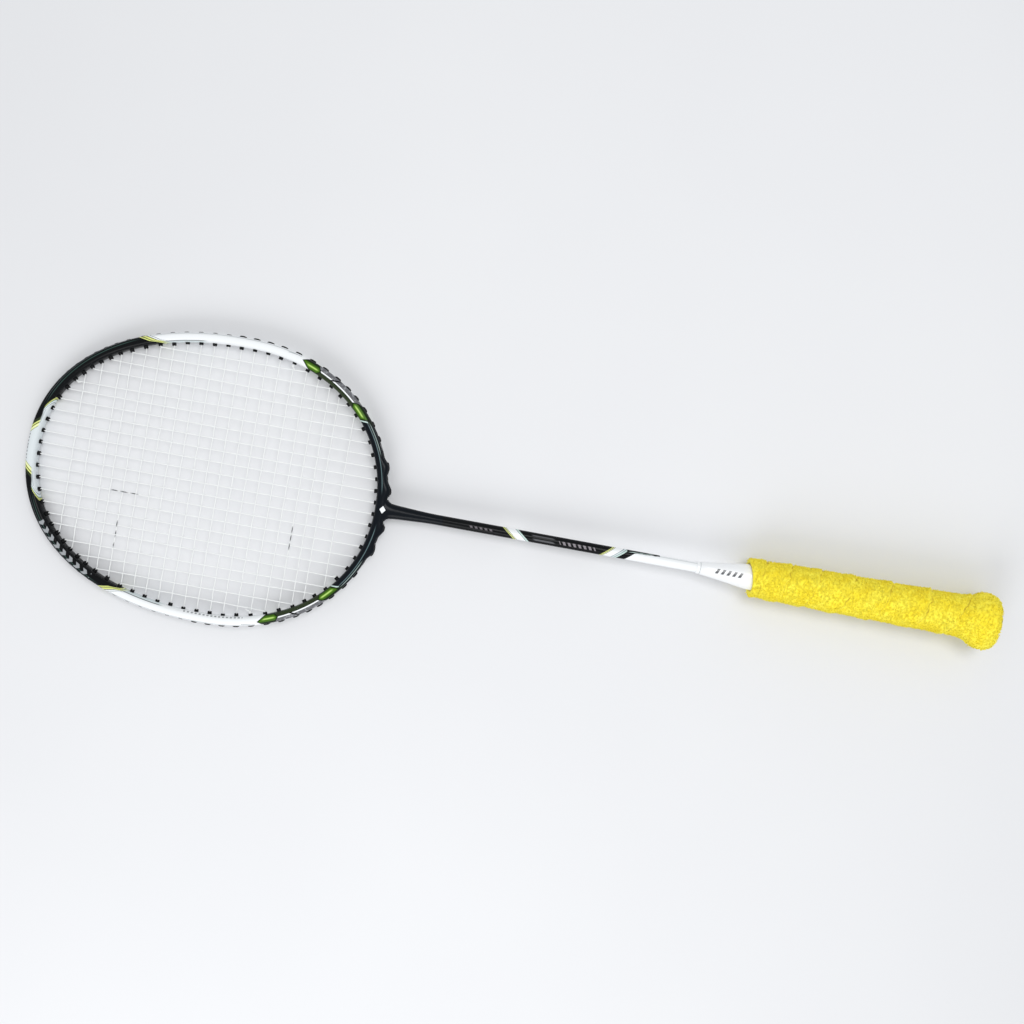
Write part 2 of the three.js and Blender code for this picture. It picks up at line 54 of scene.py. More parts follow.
def make_camera():
    """The camera looks down at the racket, with the head on the picture's left."""
    right = Vector((-0.982858, -0.182024, 0.029284))
    up = Vector((0.180474, -0.982362, -0.048919))
    place = Vector((373.644, -45.347, 718.107)) * MM
    data = bpy.data.cameras.new("camera")
    data.sensor_width = 36
    data.lens = 36.91
    camera = put("camera", data)
    turn = Matrix((right, up, right.cross(up))).transposed()
    camera.matrix_world = Matrix.Translation(place) @ turn.to_4x4()
    bpy.context.scene.camera = camera


make_camera()

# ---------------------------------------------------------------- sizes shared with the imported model

HEAD_MIDDLE = 540.7
HEAD_TO_TIP = 131
HEAD_TO_THROAT = 105
HEAD_HALF_WIDTH = 94.5
TIP_POWER = 2.2
THROAT_POWER = 2.1

TUBE_HALF = 3.3
TUBE_HALF_HEIGHT = 5.2
GROOVE_FLOOR = 1.9
THROAT_SWELL = 0.22
SWELL_REACH = 38
WAVE_SWELL = 0.32
WAVE_PLACES = (13, 28)
WAVE_HALF_LENGTH = 6.5

MAIN_COUNT = 22
MAIN_PITCH = 7.83
CROSS_COUNT = 21
CROSS_PITCH = 8.98
FIRST_CROSS = 465.3
STRING_RADIUS = 0.34
HALF_WEAVE = 0.36
BORE_LANE = 0.4
GROOVE_LANE = 0.8
SETTLE = 12

HOLES_PER_SIDE = 38
LEAST_SPACING = 7.2
HOLE_RADIUS = 1.62
BARREL_RADIUS = 1.45
BARREL_BORE = 1.05
FLANGE_THICKNESS = 0.35
BARREL_STAND = 1.5
SEAT_GAP = 0.06
SINGLES_PER_SIDE = 18
STRIP_LENGTH = 10

SHAFT_RADIUS = 3.5
SHAFT_FRONT = 392
SHAFT_BACK = 108
CONE_FRONT = 214
GRIP_FRONT = 181

# ---------------------------------------------------------------- mesh making


def add_piece(name, points, faces, material=None, sharp=None):
    """A mesh object from points in millimetres, its faces turned outwards. Edges over the sharp angle, in
    degrees, stay crisp."""
    mesh = bpy.data.meshes.new(name)
    mesh.from_pydata((np.asarray(points, float) * MM).tolist(), [], [list(f) for f in faces])
    shell = bmesh.new()
    shell.from_mesh(mesh)
    bmesh.ops.recalc_face_normals(shell, faces=shell.faces)
    shell.to_mesh(mesh)
    shell.free()
    piece = put(name, mesh)
    if material:
        mesh.materials.append(material)
    shade(piece, sharp)
    return piece


def shade(piece, sharp):
    piece.data.shade_smooth()
    if sharp:
        piece.data.set_sharp_from_angle(angle=math.radians(sharp))


def dress(piece, material):
    """A piece's one material, in place of any it has."""
    piece.data.materials.clear()
    piece.data.materials.append(material)


def unit(vectors):
    return vectors / np.linalg.norm(vectors, axis=-1, keepdims=True)


def full_turn(count):
    """Even angles all round."""
    return np.arange(count) / count * 2 * math.pi


def slice_at(x, y, z):
    """A ring of points across the racket's length, at one x or at each point's own."""
    return np.stack([np.full(len(y), x), y, z], axis=1)


def grid_faces(rows, columns, wrap_rows=False, wrap_columns=True, start=0):
    """The quads of a grid of points that are listed row by row."""
    i, j = np.meshgrid(
        np.arange(rows if wrap_rows else rows - 1),
        np.arange(columns if wrap_columns else columns - 1),
        indexing="ij",
    )
    below = (i + 1) % rows
    beside = (j + 1) % columns
    quads = [i * columns + j, i * columns + beside, below * columns + beside, below * columns + j]
    return (np.stack(quads, axis=-1).reshape(-1, 4) + start).tolist()


def loft(sections, wrap=False):
    """Points and faces through closed sections of equal count, capped at both ends unless it wraps round."""
    sections = np.asarray(sections, float)
    rows, columns, _ = sections.shape
    faces = grid_faces(rows, columns, wrap_rows=wrap)
    if not wrap:
        faces.append(list(range(columns))[::-1])
        faces.append([(rows - 1) * columns + i for i in range(columns)])
    return sections.reshape(-1, 3), faces


def merged(shells):
    """One set of points and faces from several."""
    points = []
    faces = []
    count = 0
    for shell_points, shell_faces in shells:
        points.append(np.asarray(shell_points, float))
        faces.extend([[i + count for i in face] for face in shell_faces])
        count += len(shell_points)
    return np.concatenate(points), faces


def tube(points, radius, sides):
    """A round tube along a polyline that never runs upright."""
    points = np.asarray(points, float)
    along = unit(np.gradient(points, axis=0))
    across = unit(np.cross([0, 0, 1], along))
    up = np.cross(along, across)
    turn = full_turn(sides)
    ring = across[:, None] * np.cos(turn)[None, :, None] + up[:, None] * np.sin(turn)[None, :, None]
    return loft(points[:, None] + radius * ring)


def turned(corners, segments):
    """A body turned about the shaft's axis, from [x, radius] corners that close on themselves."""
    return loft([disc(radius, x, segments) for x, radius in corners], wrap=True)


def disc(radius, x, count=64):
    turn = full_turn(count)
    return slice_at(x, radius * np.cos(turn), radius * np.sin(turn))


def eased(before, corner, after, radius, steps=4):
    """Points that round off a corner, by up to the given radius."""
    ends = []
    for side in (before - corner, after - corner):
        ends.append(corner + side * min(0.45, radius / np.linalg.norm(side)))
    shares = np.linspace(0, 1, steps)
    return [(1 - t) ** 2 * ends[0] + 2 * t * (1 - t) * corner + t**2 * ends[1] for t in shares]


def rounded(corners, radius):
    """A closed outline whose corners are rounded off."""
    corners = np.asarray(corners, float)
    result = []
    for before, corner, after in zip(np.roll(corners, 1, 0), corners, np.roll(corners, -1, 0)):
        result += eased(before, corner, after, radius)
    return np.array(result)


def apply_modifiers(piece):
    graph = bpy.context.evaluated_depsgraph_get()
    mesh = bpy.data.meshes.new_from_object(piece.evaluated_get(graph), depsgraph=graph)
    piece.modifiers.clear()
    piece.data = mesh


def combine(piece, operation, shell):
    """Joins a shell to a piece, or cuts it away."""
    tool = add_piece("tool", *shell)
    modifier = piece.modifiers.new("combine", "BOOLEAN")
    modifier.operation = operation
    modifier.solver = "MANIFOLD"
    modifier.object = tool
    apply_modifiers(piece)
    bpy.data.objects.remove(tool)


def set_values(piece, name, values):
    attribute = piece.data.attributes.new(name, "FLOAT", "POINT")
    attribute.data.foreach_set("value", np.asarray(values, np.float32))


def points_of(piece):
    """A piece's points in millimetres."""
    points = np.empty(len(piece.data.vertices) * 3, np.float32)
    piece.data.vertices.foreach_get("co", points)
    return points.reshape(-1, 3).astype(float) / MM


# ---------------------------------------------------------------- material making


class Paint:
    """A procedural material, built one node at a time. An input is a number, a colour or another's output.
    The coat is the colour so far, and further colours are laid over it."""

    def __init__(self, name, **constants):
        self.material = bpy.data.materials.new(name)
        self.material.use_nodes = True
        self.tree = self.material.node_tree
        self.surface = self.tree.nodes["Principled BSDF"]
        self.coat = None
        for socket, value in constants.items():
            self.surface.inputs[socket.replace("_", " ").title().replace("Ior", "IOR")].default_value = value

    def feed(self, socket, value):
        if isinstance(value, bpy.types.NodeSocket):
            self.tree.links.new(value, socket)
        elif isinstance(value, (tuple, list)) and len(value) == 3 and socket.type == "RGBA":
            socket.default_value = (*value, 1)
        else:
            socket.default_value = value

    def node(self, kind, inputs=(), **settings):
        node = self.tree.nodes.new("ShaderNode" + kind)
        for setting, value in settings.items():
            setattr(node, setting, value)
        for key, value in dict(inputs).items():
            self.feed(node.inputs[key], value)
        return node

    def place(self):
        """The point's place in metres."""
        return self.node("TexCoord").outputs["Object"]

    def axis(self, letter):
        """One of the point's coordinates, in millimetres."""
        split = self.node("SeparateXYZ", {0: self.place()})
        return self.math("MULTIPLY", split.outputs[letter], 1 / MM)

    def value(self, name):
        return self.node("Attribute", attribute_name=name).outputs["Fac"]

    def math(self, operation, a, b=0.0, clamp=False):
        return self.node("Math", {0: a, 1: b}, operation=operation, use_clamp=clamp).outputs[0]

    def plus(self, a, b):
        return self.math("ADD", a, b)

    def less(self, a, b):
        return self.math("SUBTRACT", a, b)

    def size(self, a):
        return self.math("ABSOLUTE", a)

    def times(self, *values):
        product = values[0]
        for value in values[1:]:
            product = self.math("MULTIPLY", product, value)
        return product

    def rise(self, value, low, high):
        """Climbs smoothly from 0 at low to 1 at high."""
        inputs = {"Value": value, "From Min": low, "From Max": high}
        return self.node("MapRange", inputs, interpolation_type="SMOOTHSTEP").outputs[0]

    def band(self, value, low, high, soft=0.15):
        """1 between low and high, and 0 outside them."""
        into = self.rise(value, low - soft, low + soft)
        out = self.rise(value, high - soft, high + soft)
        return self.math("SUBTRACT", into, out, clamp=True)

    def bars(self, value, pitch, low, high, soft=0.15):
        """A band that comes back at every pitch."""
        return self.band(self.math("MODULO", value, pitch), low, high, soft)

    def mix(self, share, a, b):
        node = self.node("Mix", data_type="RGBA")
        sockets = {s.identifier: s for s in node.inputs}
        for name, value in (("Factor_Float", share), ("A_Color", a), ("B_Color", b)):
            self.feed(sockets[name], value)
        return next(s for s in node.outputs if s.identifier == "Result_Color")

    def over(self, colour, *shares):
        """Lays a colour over the coat, as thick as the product of the shares."""
        self.coat = self.mix(self.times(*shares), self.coat, colour)

    def stripes(self, value, before, stops):
        """One colour, and then those of a list of (start, colour), each lasting until the next start. The
        ramp spans only the stops, because a ramp is rendered from a table of 256 colours."""
        margin = 0.5
        first = stops[0][0] - margin
        span = stops[-1][0] + margin - first
        share = self.math("DIVIDE", self.less(value, first), span, clamp=True)
        node = self.node("ValToRGB", {0: share})
        ramp = node.color_ramp
        ramp.interpolation = "CONSTANT"
        for index, (start, colour) in enumerate([(first, before), *stops]):
            place = (start - first) / span
            element = ramp.elements[index] if index < 2 else ramp.elements.new(place)
            element.position = place
            element.color = (*colour, 1)
        return node.outputs["Color"]

    def leaf(self, near, near_slope, far, far_slope=(0, 0)):
        """How far inside a leaf of paint a point is. Each end runs back by a slope beside its tip."""
        along = self.value("paint")
        ends = []
        for sign, place, (slope, tip) in ((1, near, near_slope), (-1, far, far_slope)):
            away = self.size(self.less(self.value("side"), tip))
            inside = self.times(self.less(along, place), sign)
            ends.append(self.less(inside, self.times(away, slope)))
        return self.math("MINIMUM", *ends)

    def noise(self, scale, detail=2.0, roughness=0.5, vector=None):
        inputs = {"Vector": vector or self.place(), "Scale": scale, "Detail": detail, "Roughness": roughness}
        return self.node("TexNoise", inputs).outputs[0]

    def finish(self, least, more, tone, grain, depth, strength):
        """The finished material: the coat, the least roughness and how much more a tone adds, and the height
        of its grain in metres."""
        self.feed(self.surface.inputs["Base Color"], self.coat)
        self.feed(self.surface.inputs["Roughness"], self.plus(self.times(tone, more), least))
        inputs = {"Height": grain, "Distance": depth, "Strength": strength}
        self.feed(self.surface.inputs["Normal"], self.node("Bump", inputs).outputs[0])
        return self.material


def rgb(red, green, blue):
    """A colour given as it shows, from 0 to 255, in linear light."""
    return tuple(((c / 255 + 0.055) / 1.055) ** 2.4 if c > 10 else c / 3295 for c in (red, green, blue))


BLACK = rgb(12, 14, 16)
BLUE_BLACK = rgb(13, 18, 24)
WHITE = rgb(238, 241, 243)
ICE = rgb(216, 223, 226)
LIME = rgb(220, 228, 138)
CREAM = rgb(236, 240, 190)
MINT = rgb(196, 218, 212)
PALE = rgb(206, 218, 220)
STEEL = rgb(120, 134, 138)
GREEN = rgb(70, 112, 24)
LIGHT_GREEN = rgb(190, 226, 122)
DARK_GREEN = rgb(15, 28, 12)
OLIVE = rgb(47, 57, 37)
SILVER = rgb(104, 105, 109)
LACQUER = {"coat_weight": 0.04, "coat_roughness": 0.1, "specular_ior_level": 0.08}

# Where the painted leaves begin and end, and where the tube's two differently painted halves meet.
LEAVES_START = 226
LEAVES_END = 277.2
HALVES_MEET = -0.95
TIP_HALVES_MEET = -2.2
TIP_PAINT = 22


def finish_lacquer(paint):
    """Clear-coated lacquer: faint flecks and orange peel, and a few rubbed, duller patches."""
    flecks = paint.rise(paint.noise(5000, detail=1), 0.55, 0.75)
    paint.over(rgb(150, 156, 160), flecks, 0.02)
    rubbed = paint.rise(paint.noise(60, detail=4, roughness=0.7), 0.45, 0.8)
    return paint.finish(0.24, 0.16, rubbed, paint.noise(700, detail=2), 0.00004, 0.35)


def head_lacquer():
    """The head's paint. The attribute "paint" runs from the tip to the throat along slanted lines, and "run"
    along square ones. "side" and "offset" run from the inner edge to the outer one, and "height" away from
    the string bed."""
    paint = Paint("head_lacquer", **LACQUER)
    along = paint.value("paint")
    run = paint.value("run")
    side = paint.value("side")
    offset = paint.value("offset")
    height = paint.value("height")
    x = paint.axis("X")
    y = paint.axis("Y")

    # The pale tip ends in thin lines, which lie further along on the tube's inner half.
    outer_stops = [(13.3, STEEL), (13.7, LIME), (14.3, CREAM), (15.5, LIME), (16.1, BLACK)]
    outer_stops += [(16.8, LIME), (18.1, OLIVE), (20.6, BLACK)]
    inner_stops = [(24.5, STEEL), (25.1, ICE), (26.4, MINT), (27.2, BLACK)]
    inner_stops += [(27.8, LIME), (28.6, BLACK), (29.0, LIME), (29.6, BLACK)]
    outer_half = paint.stripes(along, ICE, outer_stops)
    inner_half = paint.stripes(along, ICE, inner_stops)
    further_in = paint.less(0.75, paint.times(paint.rise(run, 22, 28), 0.75))
    outwards = paint.rise(paint.plus(side, further_in), -1.45, -0.55)
    paint.coat = paint.mix(outwards, inner_half, outer_half)
    paint.over(STEEL, paint.band(side, -2.3, -1.9), paint.band(run, 17, 27, 0.5), 0.45)

    # The black length ends in two lime lines, and the white one after it in a green leaf.
    to_white = [(114.5, LIME), (115.9, BLACK), (116.8, LIME), (119.0, BLACK)]
    to_white += [(119.8, WHITE), (121.4, STEEL), (122.1, WHITE)]
    paint.over(paint.stripes(along, BLACK, to_white), paint.rise(along, 60, 61))
    to_black = [(LEAVES_START, OLIVE), (LEAVES_END, MINT), (LEAVES_END + 1.1, BLUE_BLACK)]
    paint.over(paint.stripes(along, WHITE, to_black), paint.rise(along, 170, 171))

    # Between the green leaves: olive inside, then a white line with dark edges, then silver.
    lines = paint.stripes(side, OLIVE, [(-0.75, BLACK), (-0.4, WHITE), (0.55, BLACK), (0.75, SILVER)])
    worn = paint.times(paint.rise(paint.noise(420, detail=2), 0.5, 0.65), paint.rise(side, 0.75, 0.85))
    lines = paint.mix(paint.times(worn, 0.55), lines, rgb(176, 178, 182))
    paint.over(lines, paint.band(along, LEAVES_START, LEAVES_END, 0.1))
    cut = paint.less(along, paint.times(side, 1.5))
    paint.over(BLACK, paint.band(cut, 242.0, 243.8), paint.rise(side, -0.8, -0.7))

    # The leaves are airbrushed: dark at the rim, and light along the middle, where the light line is partly
    # airbrushed paint and partly a painted highlight.
    first_leaf = paint.leaf(218.4, (1.5, 0.8), 233.8, (0.9, -0.4))
    second_leaf = paint.leaf(262.5, (1.0, -0.4), LEAVES_END)
    level = paint.math("MAXIMUM", first_leaf, second_leaf)
    edge = paint.less(3.1, paint.size(paint.plus(side, 0.5)))
    leaf = paint.mix(paint.rise(paint.math("MINIMUM", level, edge), 0.4, 2.1), DARK_GREEN, GREEN)
    # Partly a painted highlight: the light line along each leaf's middle.
    vein_and_highlight = paint.times(paint.rise(level, 1.6, 4.2), paint.band(side, -0.9, 0.0, 0.45), 0.95)
    paint.over(paint.mix(vein_and_highlight, leaf, LIGHT_GREEN), paint.rise(level, 0, 0.25))
    paint.over(DARK_GREEN, paint.band(along, 275.6, 279, 0.3), paint.rise(side, 0.8, 1.1))

    # A row of fine ticks and a thin wedge on one white length.
    ticks = paint.times(paint.bars(run, 2.7, 0.5, 1.9, 0.2), paint.band(run, 168, 209), paint.rise(y, 5, 6))
    paint.over(rgb(96, 102, 104), ticks, paint.band(side, -3.0, -2.3), paint.rise(height, 2, 3), 0.75)
    taper = paint.less(side, paint.times(paint.less(run, 208), 0.12))
    paint.over(STEEL, paint.band(taper, 1.4, 1.8), paint.band(run, 208, 214), 0.7)

    # Lines along the tube. On the white lengths: a grey line near the outer edge, which is painted shade, and
    # a pale band and dark line near the black end. On the black lengths: mint and grey lines that are painted
    # highlights. At the throat: a grey-teal painted highlight. By the leaves: a mint hairline.
    on_white = paint.band(along, 123, 217, 0.5)
    near_black = paint.band(run, 125, 152, 3)
    on_black = paint.band(along, 36, 108, 8)
    at_throat = paint.band(along, 279, 326, 4)
    near_leaf = paint.band(along, 279, 299, 3)
    drift = paint.less(side, paint.times(paint.less(along, 70), 0.022))
    for colour, share, where, place, low, high, soft in (
        # Painted shade: the grey line near the white lengths' outer edge.
        (STEEL, 0.7, on_white, side, 2.2, 2.5, 0.08),
        (PALE, 0.8, near_black, side, -3.6, -2.4, 0.1),
        (rgb(70, 78, 82), 0.9, near_black, side, -2.6, -2.2, 0.08),
        # Painted highlights: the mint and grey lines along the black lengths.
        (rgb(80, 112, 104), 0.5, on_black, drift, 0.1, 0.5, 0.12),
        (STEEL, 0.4, on_black, drift, 1.5, 1.75, 0.1),
        # Painted highlight: the grey-teal line along the throat.
        (rgb(120, 146, 150), 0.6, at_throat, offset, 0.2, 0.7, 0.12),
        (MINT, 0.6, near_leaf, side, 1.5, 1.9, 0.12),
    ):
        paint.over(colour, where, paint.band(place, low, high, soft), share)

    # Plain marks: chevrons on one black length, ticks on the tip's outer edge, a diamond at the throat.
    tread = paint.plus(run, paint.size(paint.plus(side, 0.2)))
    chevron = paint.times(paint.bars(tread, 6.3, 1.2, 4.1), paint.band(run, 51.2, 101))
    paint.over(rgb(172, 176, 180), chevron, paint.band(side, -1.9, 1.6), paint.rise(y, 5, 6), 0.8)
    tick = paint.times(paint.bars(run, 2.3, 0.5, 1.8), paint.band(run, 0, 8.5))
    paint.over(rgb(84, 90, 94), tick, paint.band(side, 1.8, 2.6), 0.8)
    across = paint.size(paint.less(x, 433.4))
    apart = paint.size(paint.plus(y, 0.4))
    diamond = paint.less(2.2, paint.plus(across, paint.times(apart, 0.8)))
    paint.over(WHITE, paint.rise(diamond, 0, 0.2), paint.rise(paint.axis("Z"), 0.5, 1.5))

    # The groove for the strings is bare dark carbon.
    paint.over(BLACK, paint.rise(side, 1.7, 1.9), paint.less(1, paint.rise(height, 2.2, 2.5)))
    return finish_lacquer(paint)


def shaft_lacquer():
    """The shaft's paint, whose bands slant across it: black by the head, white by the cone."""
    paint = Paint("shaft_lacquer", **LACQUER)
    x = paint.axis("X")
    y = paint.axis("Y")
    front = paint.plus(x, paint.times(y, 1.25))
    rear = paint.less(x, paint.times(y, 1.2))
    first_stops = [(335.7, MINT), (337.2, STEEL), (337.7, WHITE), (344.1, BLACK), (344.5, CREAM)]
    first_stops += [(345.2, BLACK), (345.8, LIME), (346.5, BLACK)]
    second_stops = [(260.8, BLACK), (266.6, MINT), (268.1, STEEL), (268.6, PALE), (270.1, STEEL)]
    second_stops += [(270.6, WHITE), (276.0, BLACK), (276.4, CREAM), (277.0, BLACK), (277.5, LIME)]
    second_stops += [(278.2, BLACK)]
    paint.coat = paint.stripes(rear, WHITE, second_stops)
    paint.over(paint.stripes(front, BLACK, first_stops), paint.rise(x, 305, 306))
    # A black flash trails from the last bar along one edge of the shaft.
    trail = paint.times(paint.less(x, 241), 0.055)
    ragged = paint.times(paint.less(paint.noise(220, detail=1), 0.5), 1.6)
    inside = paint.less(paint.plus(paint.less(trail, 2.7), ragged), y)
    paint.over(BLACK, paint.rise(inside, -0.15, 0.15), paint.band(x, 241, 264, 0.3))
    paint.over(MINT, paint.band(inside, 0.4, 0.7, 0.1), paint.band(x, 246, 262, 2))
    # Plain silver wedges and slanted bars on the black lengths, and a thin grey line on the white one.
    above = paint.rise(paint.axis("Z"), 0, 1)
    for low, high, start, end in ((-1.9, -1.1, 313, 328), (0.5, 1.7, 316, 330)):
        paint.over(SILVER, paint.band(y, low, high, 0.2), paint.band(front, start, end, 1.2), above, 0.7)
    slant = paint.plus(x, paint.times(y, 0.6))
    for start, end, pitch, low, high, grey in (
        (286, 311, 3.6, -0.9, 1.3, rgb(150, 144, 150)),
        (357, 374, 3.4, -0.5, 0.8, rgb(120, 114, 120)),
    ):
        row = paint.times(paint.band(slant, start, end), paint.band(y, low, high), above)
        paint.over(grey, paint.bars(slant, pitch, 0.8, 2.6), row, 0.8)
    paint.over(STEEL, paint.band(y, -2.9, -2.6, 0.1), paint.band(x, 200, 243, 1), 0.5)
    return finish_lacquer(paint)


def white_gloss():
    paint = Paint("white_gloss", coat_weight=0.25, coat_roughness=0.15, specular_ior_level=0.5)
    haze = paint.rise(paint.noise(120, detail=5, roughness=0.65), 0.5, 0.85)
    paint.coat = paint.mix(paint.times(haze, 0.25), rgb(240, 242, 244), rgb(206, 208, 206))
    # A row of plain slanted bars on top, and a thin grey line behind the lip.
    x = paint.axis("X")
    y = paint.axis("Y")
    slant = paint.less(x, paint.times(y, 0.5))
    row = paint.times(paint.band(slant, 183.5, 203.5), paint.band(y, -2.0, 1.4))
    above = paint.rise(paint.axis("Z"), 0, 1)
    paint.over(rgb(38, 41, 46), paint.bars(slant, 3.9, 0.8, 2.7, 0.1), row, above, 0.9)
    paint.over(STEEL, paint.band(x, 211.9, 212.4, 0.1), 0.5)
    return paint.finish(0.28, 0.2, haze, paint.noise(900, detail=2), 0.00003, 0.3)


def grommet_nylon():
    paint = Paint("grommet_nylon", specular_ior_level=0.15)
    wear = paint.rise(paint.noise(900, detail=4, roughness=0.7), 0.5, 0.8)
    paint.coat = paint.mix(paint.times(wear, 0.3), rgb(13, 14, 16), rgb(48, 50, 54))
    return paint.finish(0.42, 0.25, wear, paint.noise(4000, detail=3), 0.00003, 0.5)


def string_nylon():
    """Bundled filament under a clear sheath, with a twist along its length and a few printed dashes."""
    paint = Paint("string_nylon", specular_ior_level=0.5, coat_weight=0.3, coat_roughness=0.2)
    lay = paint.node("TexWave", {"Vector": paint.place(), "Scale": 900, "Distortion": 2.0, "Detail": 1.0})
    grey = paint.noise(300, detail=3)
    paint.coat = paint.mix(paint.times(grey, 0.3), rgb(244, 246, 246), rgb(212, 216, 216))
    paint.over(rgb(84, 88, 92), paint.value("dashes"))
    return paint.finish(0.25, 0.2, grey, lay.outputs["Fac"], 0.00003, 0.3)


def towelling():
    """Cotton terry with painted shade: deep yellow in the gaps and darkest in the seams, bright on the loops,
    with a soft sheen.
    """
    paint = Paint("towelling", sheen_weight=0.08, sheen_roughness=0.6, specular_ior_level=0.1)
    # The attribute read here is painted shade: low between loops, along the seams, inside the sleeve and at
    # the loops' feet.
    height = paint.value("nap")
    blotch = paint.noise(90, detail=4, roughness=0.6)
    strand = paint.noise(2600, detail=2)
    gap_shade = paint.mix(blotch, rgb(198, 172, 12), rgb(216, 190, 18))
    bright = paint.mix(paint.rise(blotch, 0.3, 0.7), rgb(253, 234, 44), rgb(255, 243, 74))
    pile = paint.mix(paint.rise(height, 0.0, 0.5), gap_shade, bright)
    # Painted shade: the seams' creases and the sleeve's inside take the darkest yellow.
    paint.coat = paint.mix(paint.rise(height, 0.04, 0.24), rgb(186, 158, 14), pile)
    paint.over(rgb(255, 246, 130), strand, 0.18)
    return paint.finish(0.9, 0.08, strand, strand, 0.0002, 0.5)


def cap_plastic():
    paint = Paint("cap_plastic", specular_ior_level=0.4)
    grain = paint.noise(1800, detail=3, roughness=0.6)
    paint.coat = paint.mix(grain, rgb(22, 23, 25), rgb(40, 42, 45))
    return paint.finish(0.4, 0.25, grain, grain, 0.00008, 0.6)


def wood():
    """Pale straight-grained wood, with its grain along the handle."""
    paint = Paint("wood", specular_ior_level=0.3)
    stretched = paint.node("Mapping", {"Vector": paint.place(), "Scale": (12, 420, 420)}).outputs[0]
    grain = paint.noise(1, detail=5, roughness=0.65, vector=stretched)
    paint.coat = paint.mix(paint.rise(grain, 0.35, 0.65), rgb(176, 128, 78), rgb(216, 176, 122))
    return paint.finish(0.55, 0.25, grain, grain, 0.0001, 0.5)


HEAD_LACQUER = head_lacquer()
SHAFT_LACQUER = shaft_lacquer()
WHITE_GLOSS = white_gloss()
NYLON = grommet_nylon()
STRING = string_nylon()
TOWEL = towelling()
CAP = cap_plastic()
WOOD = wood()


def show(piece, slot, *nodes):
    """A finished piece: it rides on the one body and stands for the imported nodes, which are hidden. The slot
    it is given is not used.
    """
    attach(piece, "root")
    if nodes:
        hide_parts(*nodes)
    return piece


# ---------------------------------------------------------------- the ring and its holes


def ring_point(angle):
    """A point on the head's centreline. The angle is 0 at the tip and grows towards +Y."""
    lengthwise = math.cos(angle)
    power = TIP_POWER if lengthwise > 0 else THROAT_POWER
    reach = HEAD_TO_TIP if lengthwise > 0 else HEAD_TO_THROAT
    sideways = abs(math.sin(angle) / HEAD_HALF_WIDTH) ** power
    radius = (abs(lengthwise / reach) ** power + sideways) ** (-1 / power)
    return np.array([HEAD_MIDDLE + radius * lengthwise, radius * math.sin(angle), 0.0])


def ring_outward(angle):
    step = 1e-3
    along = ring_point(angle + step) - ring_point(angle - step)
    return np.cross(along / np.linalg.norm(along), [0, 0, 1])


def barrel_end(angle):
    return ring_point(angle) - ring_outward(angle) * (TUBE_HALF + BARREL_STAND)


def crossing(measure, low, high):
    """Where a measure that falls from low to high reaches zero."""
    for _ in range(40):
        middle = (low + high) / 2
        if measure(middle) > 0:
            low = middle
        else:
            high = middle
    return (low + high) / 2


def arc(start, end):
    return np.linalg.norm(ring_point(start) - ring_point(end))


def string_ends():
    """The ends of the strings on the side where Y is positive, from the tip to the throat."""
    ends = []
    for i in range(MAIN_COUNT // 2):
        y = (i + 0.5) * MAIN_PITCH
        tip = crossing(lambda a: y - barrel_end(a)[1], 0, math.pi / 2)
        throat = crossing(lambda a: barrel_end(a)[1] - y, math.pi / 2, math.pi)
        ends.append((tip, ("main", i, True)))
        ends.append((throat, ("main", i, False)))
    for i in range(CROSS_COUNT):
        x = FIRST_CROSS + i * CROSS_PITCH
        ends.append((crossing(lambda a: barrel_end(a)[0] - x, 0, math.pi), ("cross", i, None)))
    return sorted(ends, key=lambda end: end[0])


def shared_holes(ends):
    """Where a main and a cross end close together they share a hole, until the right number is left."""
    holes = [{"angle": angle, "ends": [end]} for angle, end in ends]
    while len(holes) > HOLES_PER_SIDE:
        gaps = [
            (arc(a["angle"], b["angle"]), i)
            for i, (a, b) in enumerate(zip(holes, holes[1:]))
            if len(a["ends"]) == len(b["ends"]) == 1 and a["ends"][0][0] != b["ends"][0][0]
        ]
        _, i = min(gaps)
        a, b = holes[i : i + 2]
        holes[i : i + 2] = [{"angle": (a["angle"] + b["angle"]) / 2, "ends": a["ends"] + b["ends"]}]
    return holes


def spaced_holes(holes):
    """Holes that are closer than the frame can carry move apart along the ring."""
    rounds = 400
    ease = 0.25
    for _ in range(rounds):
        for i in range(1, len(holes)):
            short = LEAST_SPACING - arc(holes[i - 1]["angle"], holes[i]["angle"])
            if short <= 0:
                continue
            turn = ease * short / HEAD_HALF_WIDTH
            if i > 1:
                holes[i - 1]["angle"] -= turn
            if i < len(holes) - 1:
                holes[i]["angle"] += turn
    return holes


def swell(angle):
    """How much wider the tube is: a swelling at the throat, with two smooth waves on each side of it."""
    if math.cos(angle) > 0:
        return 1.0
    y = abs(ring_point(angle)[1])
    fade = max(0, 1 - y / SWELL_REACH)
    waves = [max(0, 1 - abs(y - place) / WAVE_HALF_LENGTH) for place in WAVE_PLACES]
    bump = max(waves)
    return 1 + THROAT_SWELL * fade + WAVE_SWELL * bump * bump * (3 - 2 * bump)


def groove_floor(wide):
    """The groove floor's distance from the centreline where the tube is swollen so much."""
    return GROOVE_FLOOR * wide + TUBE_HALF * (wide - 1)


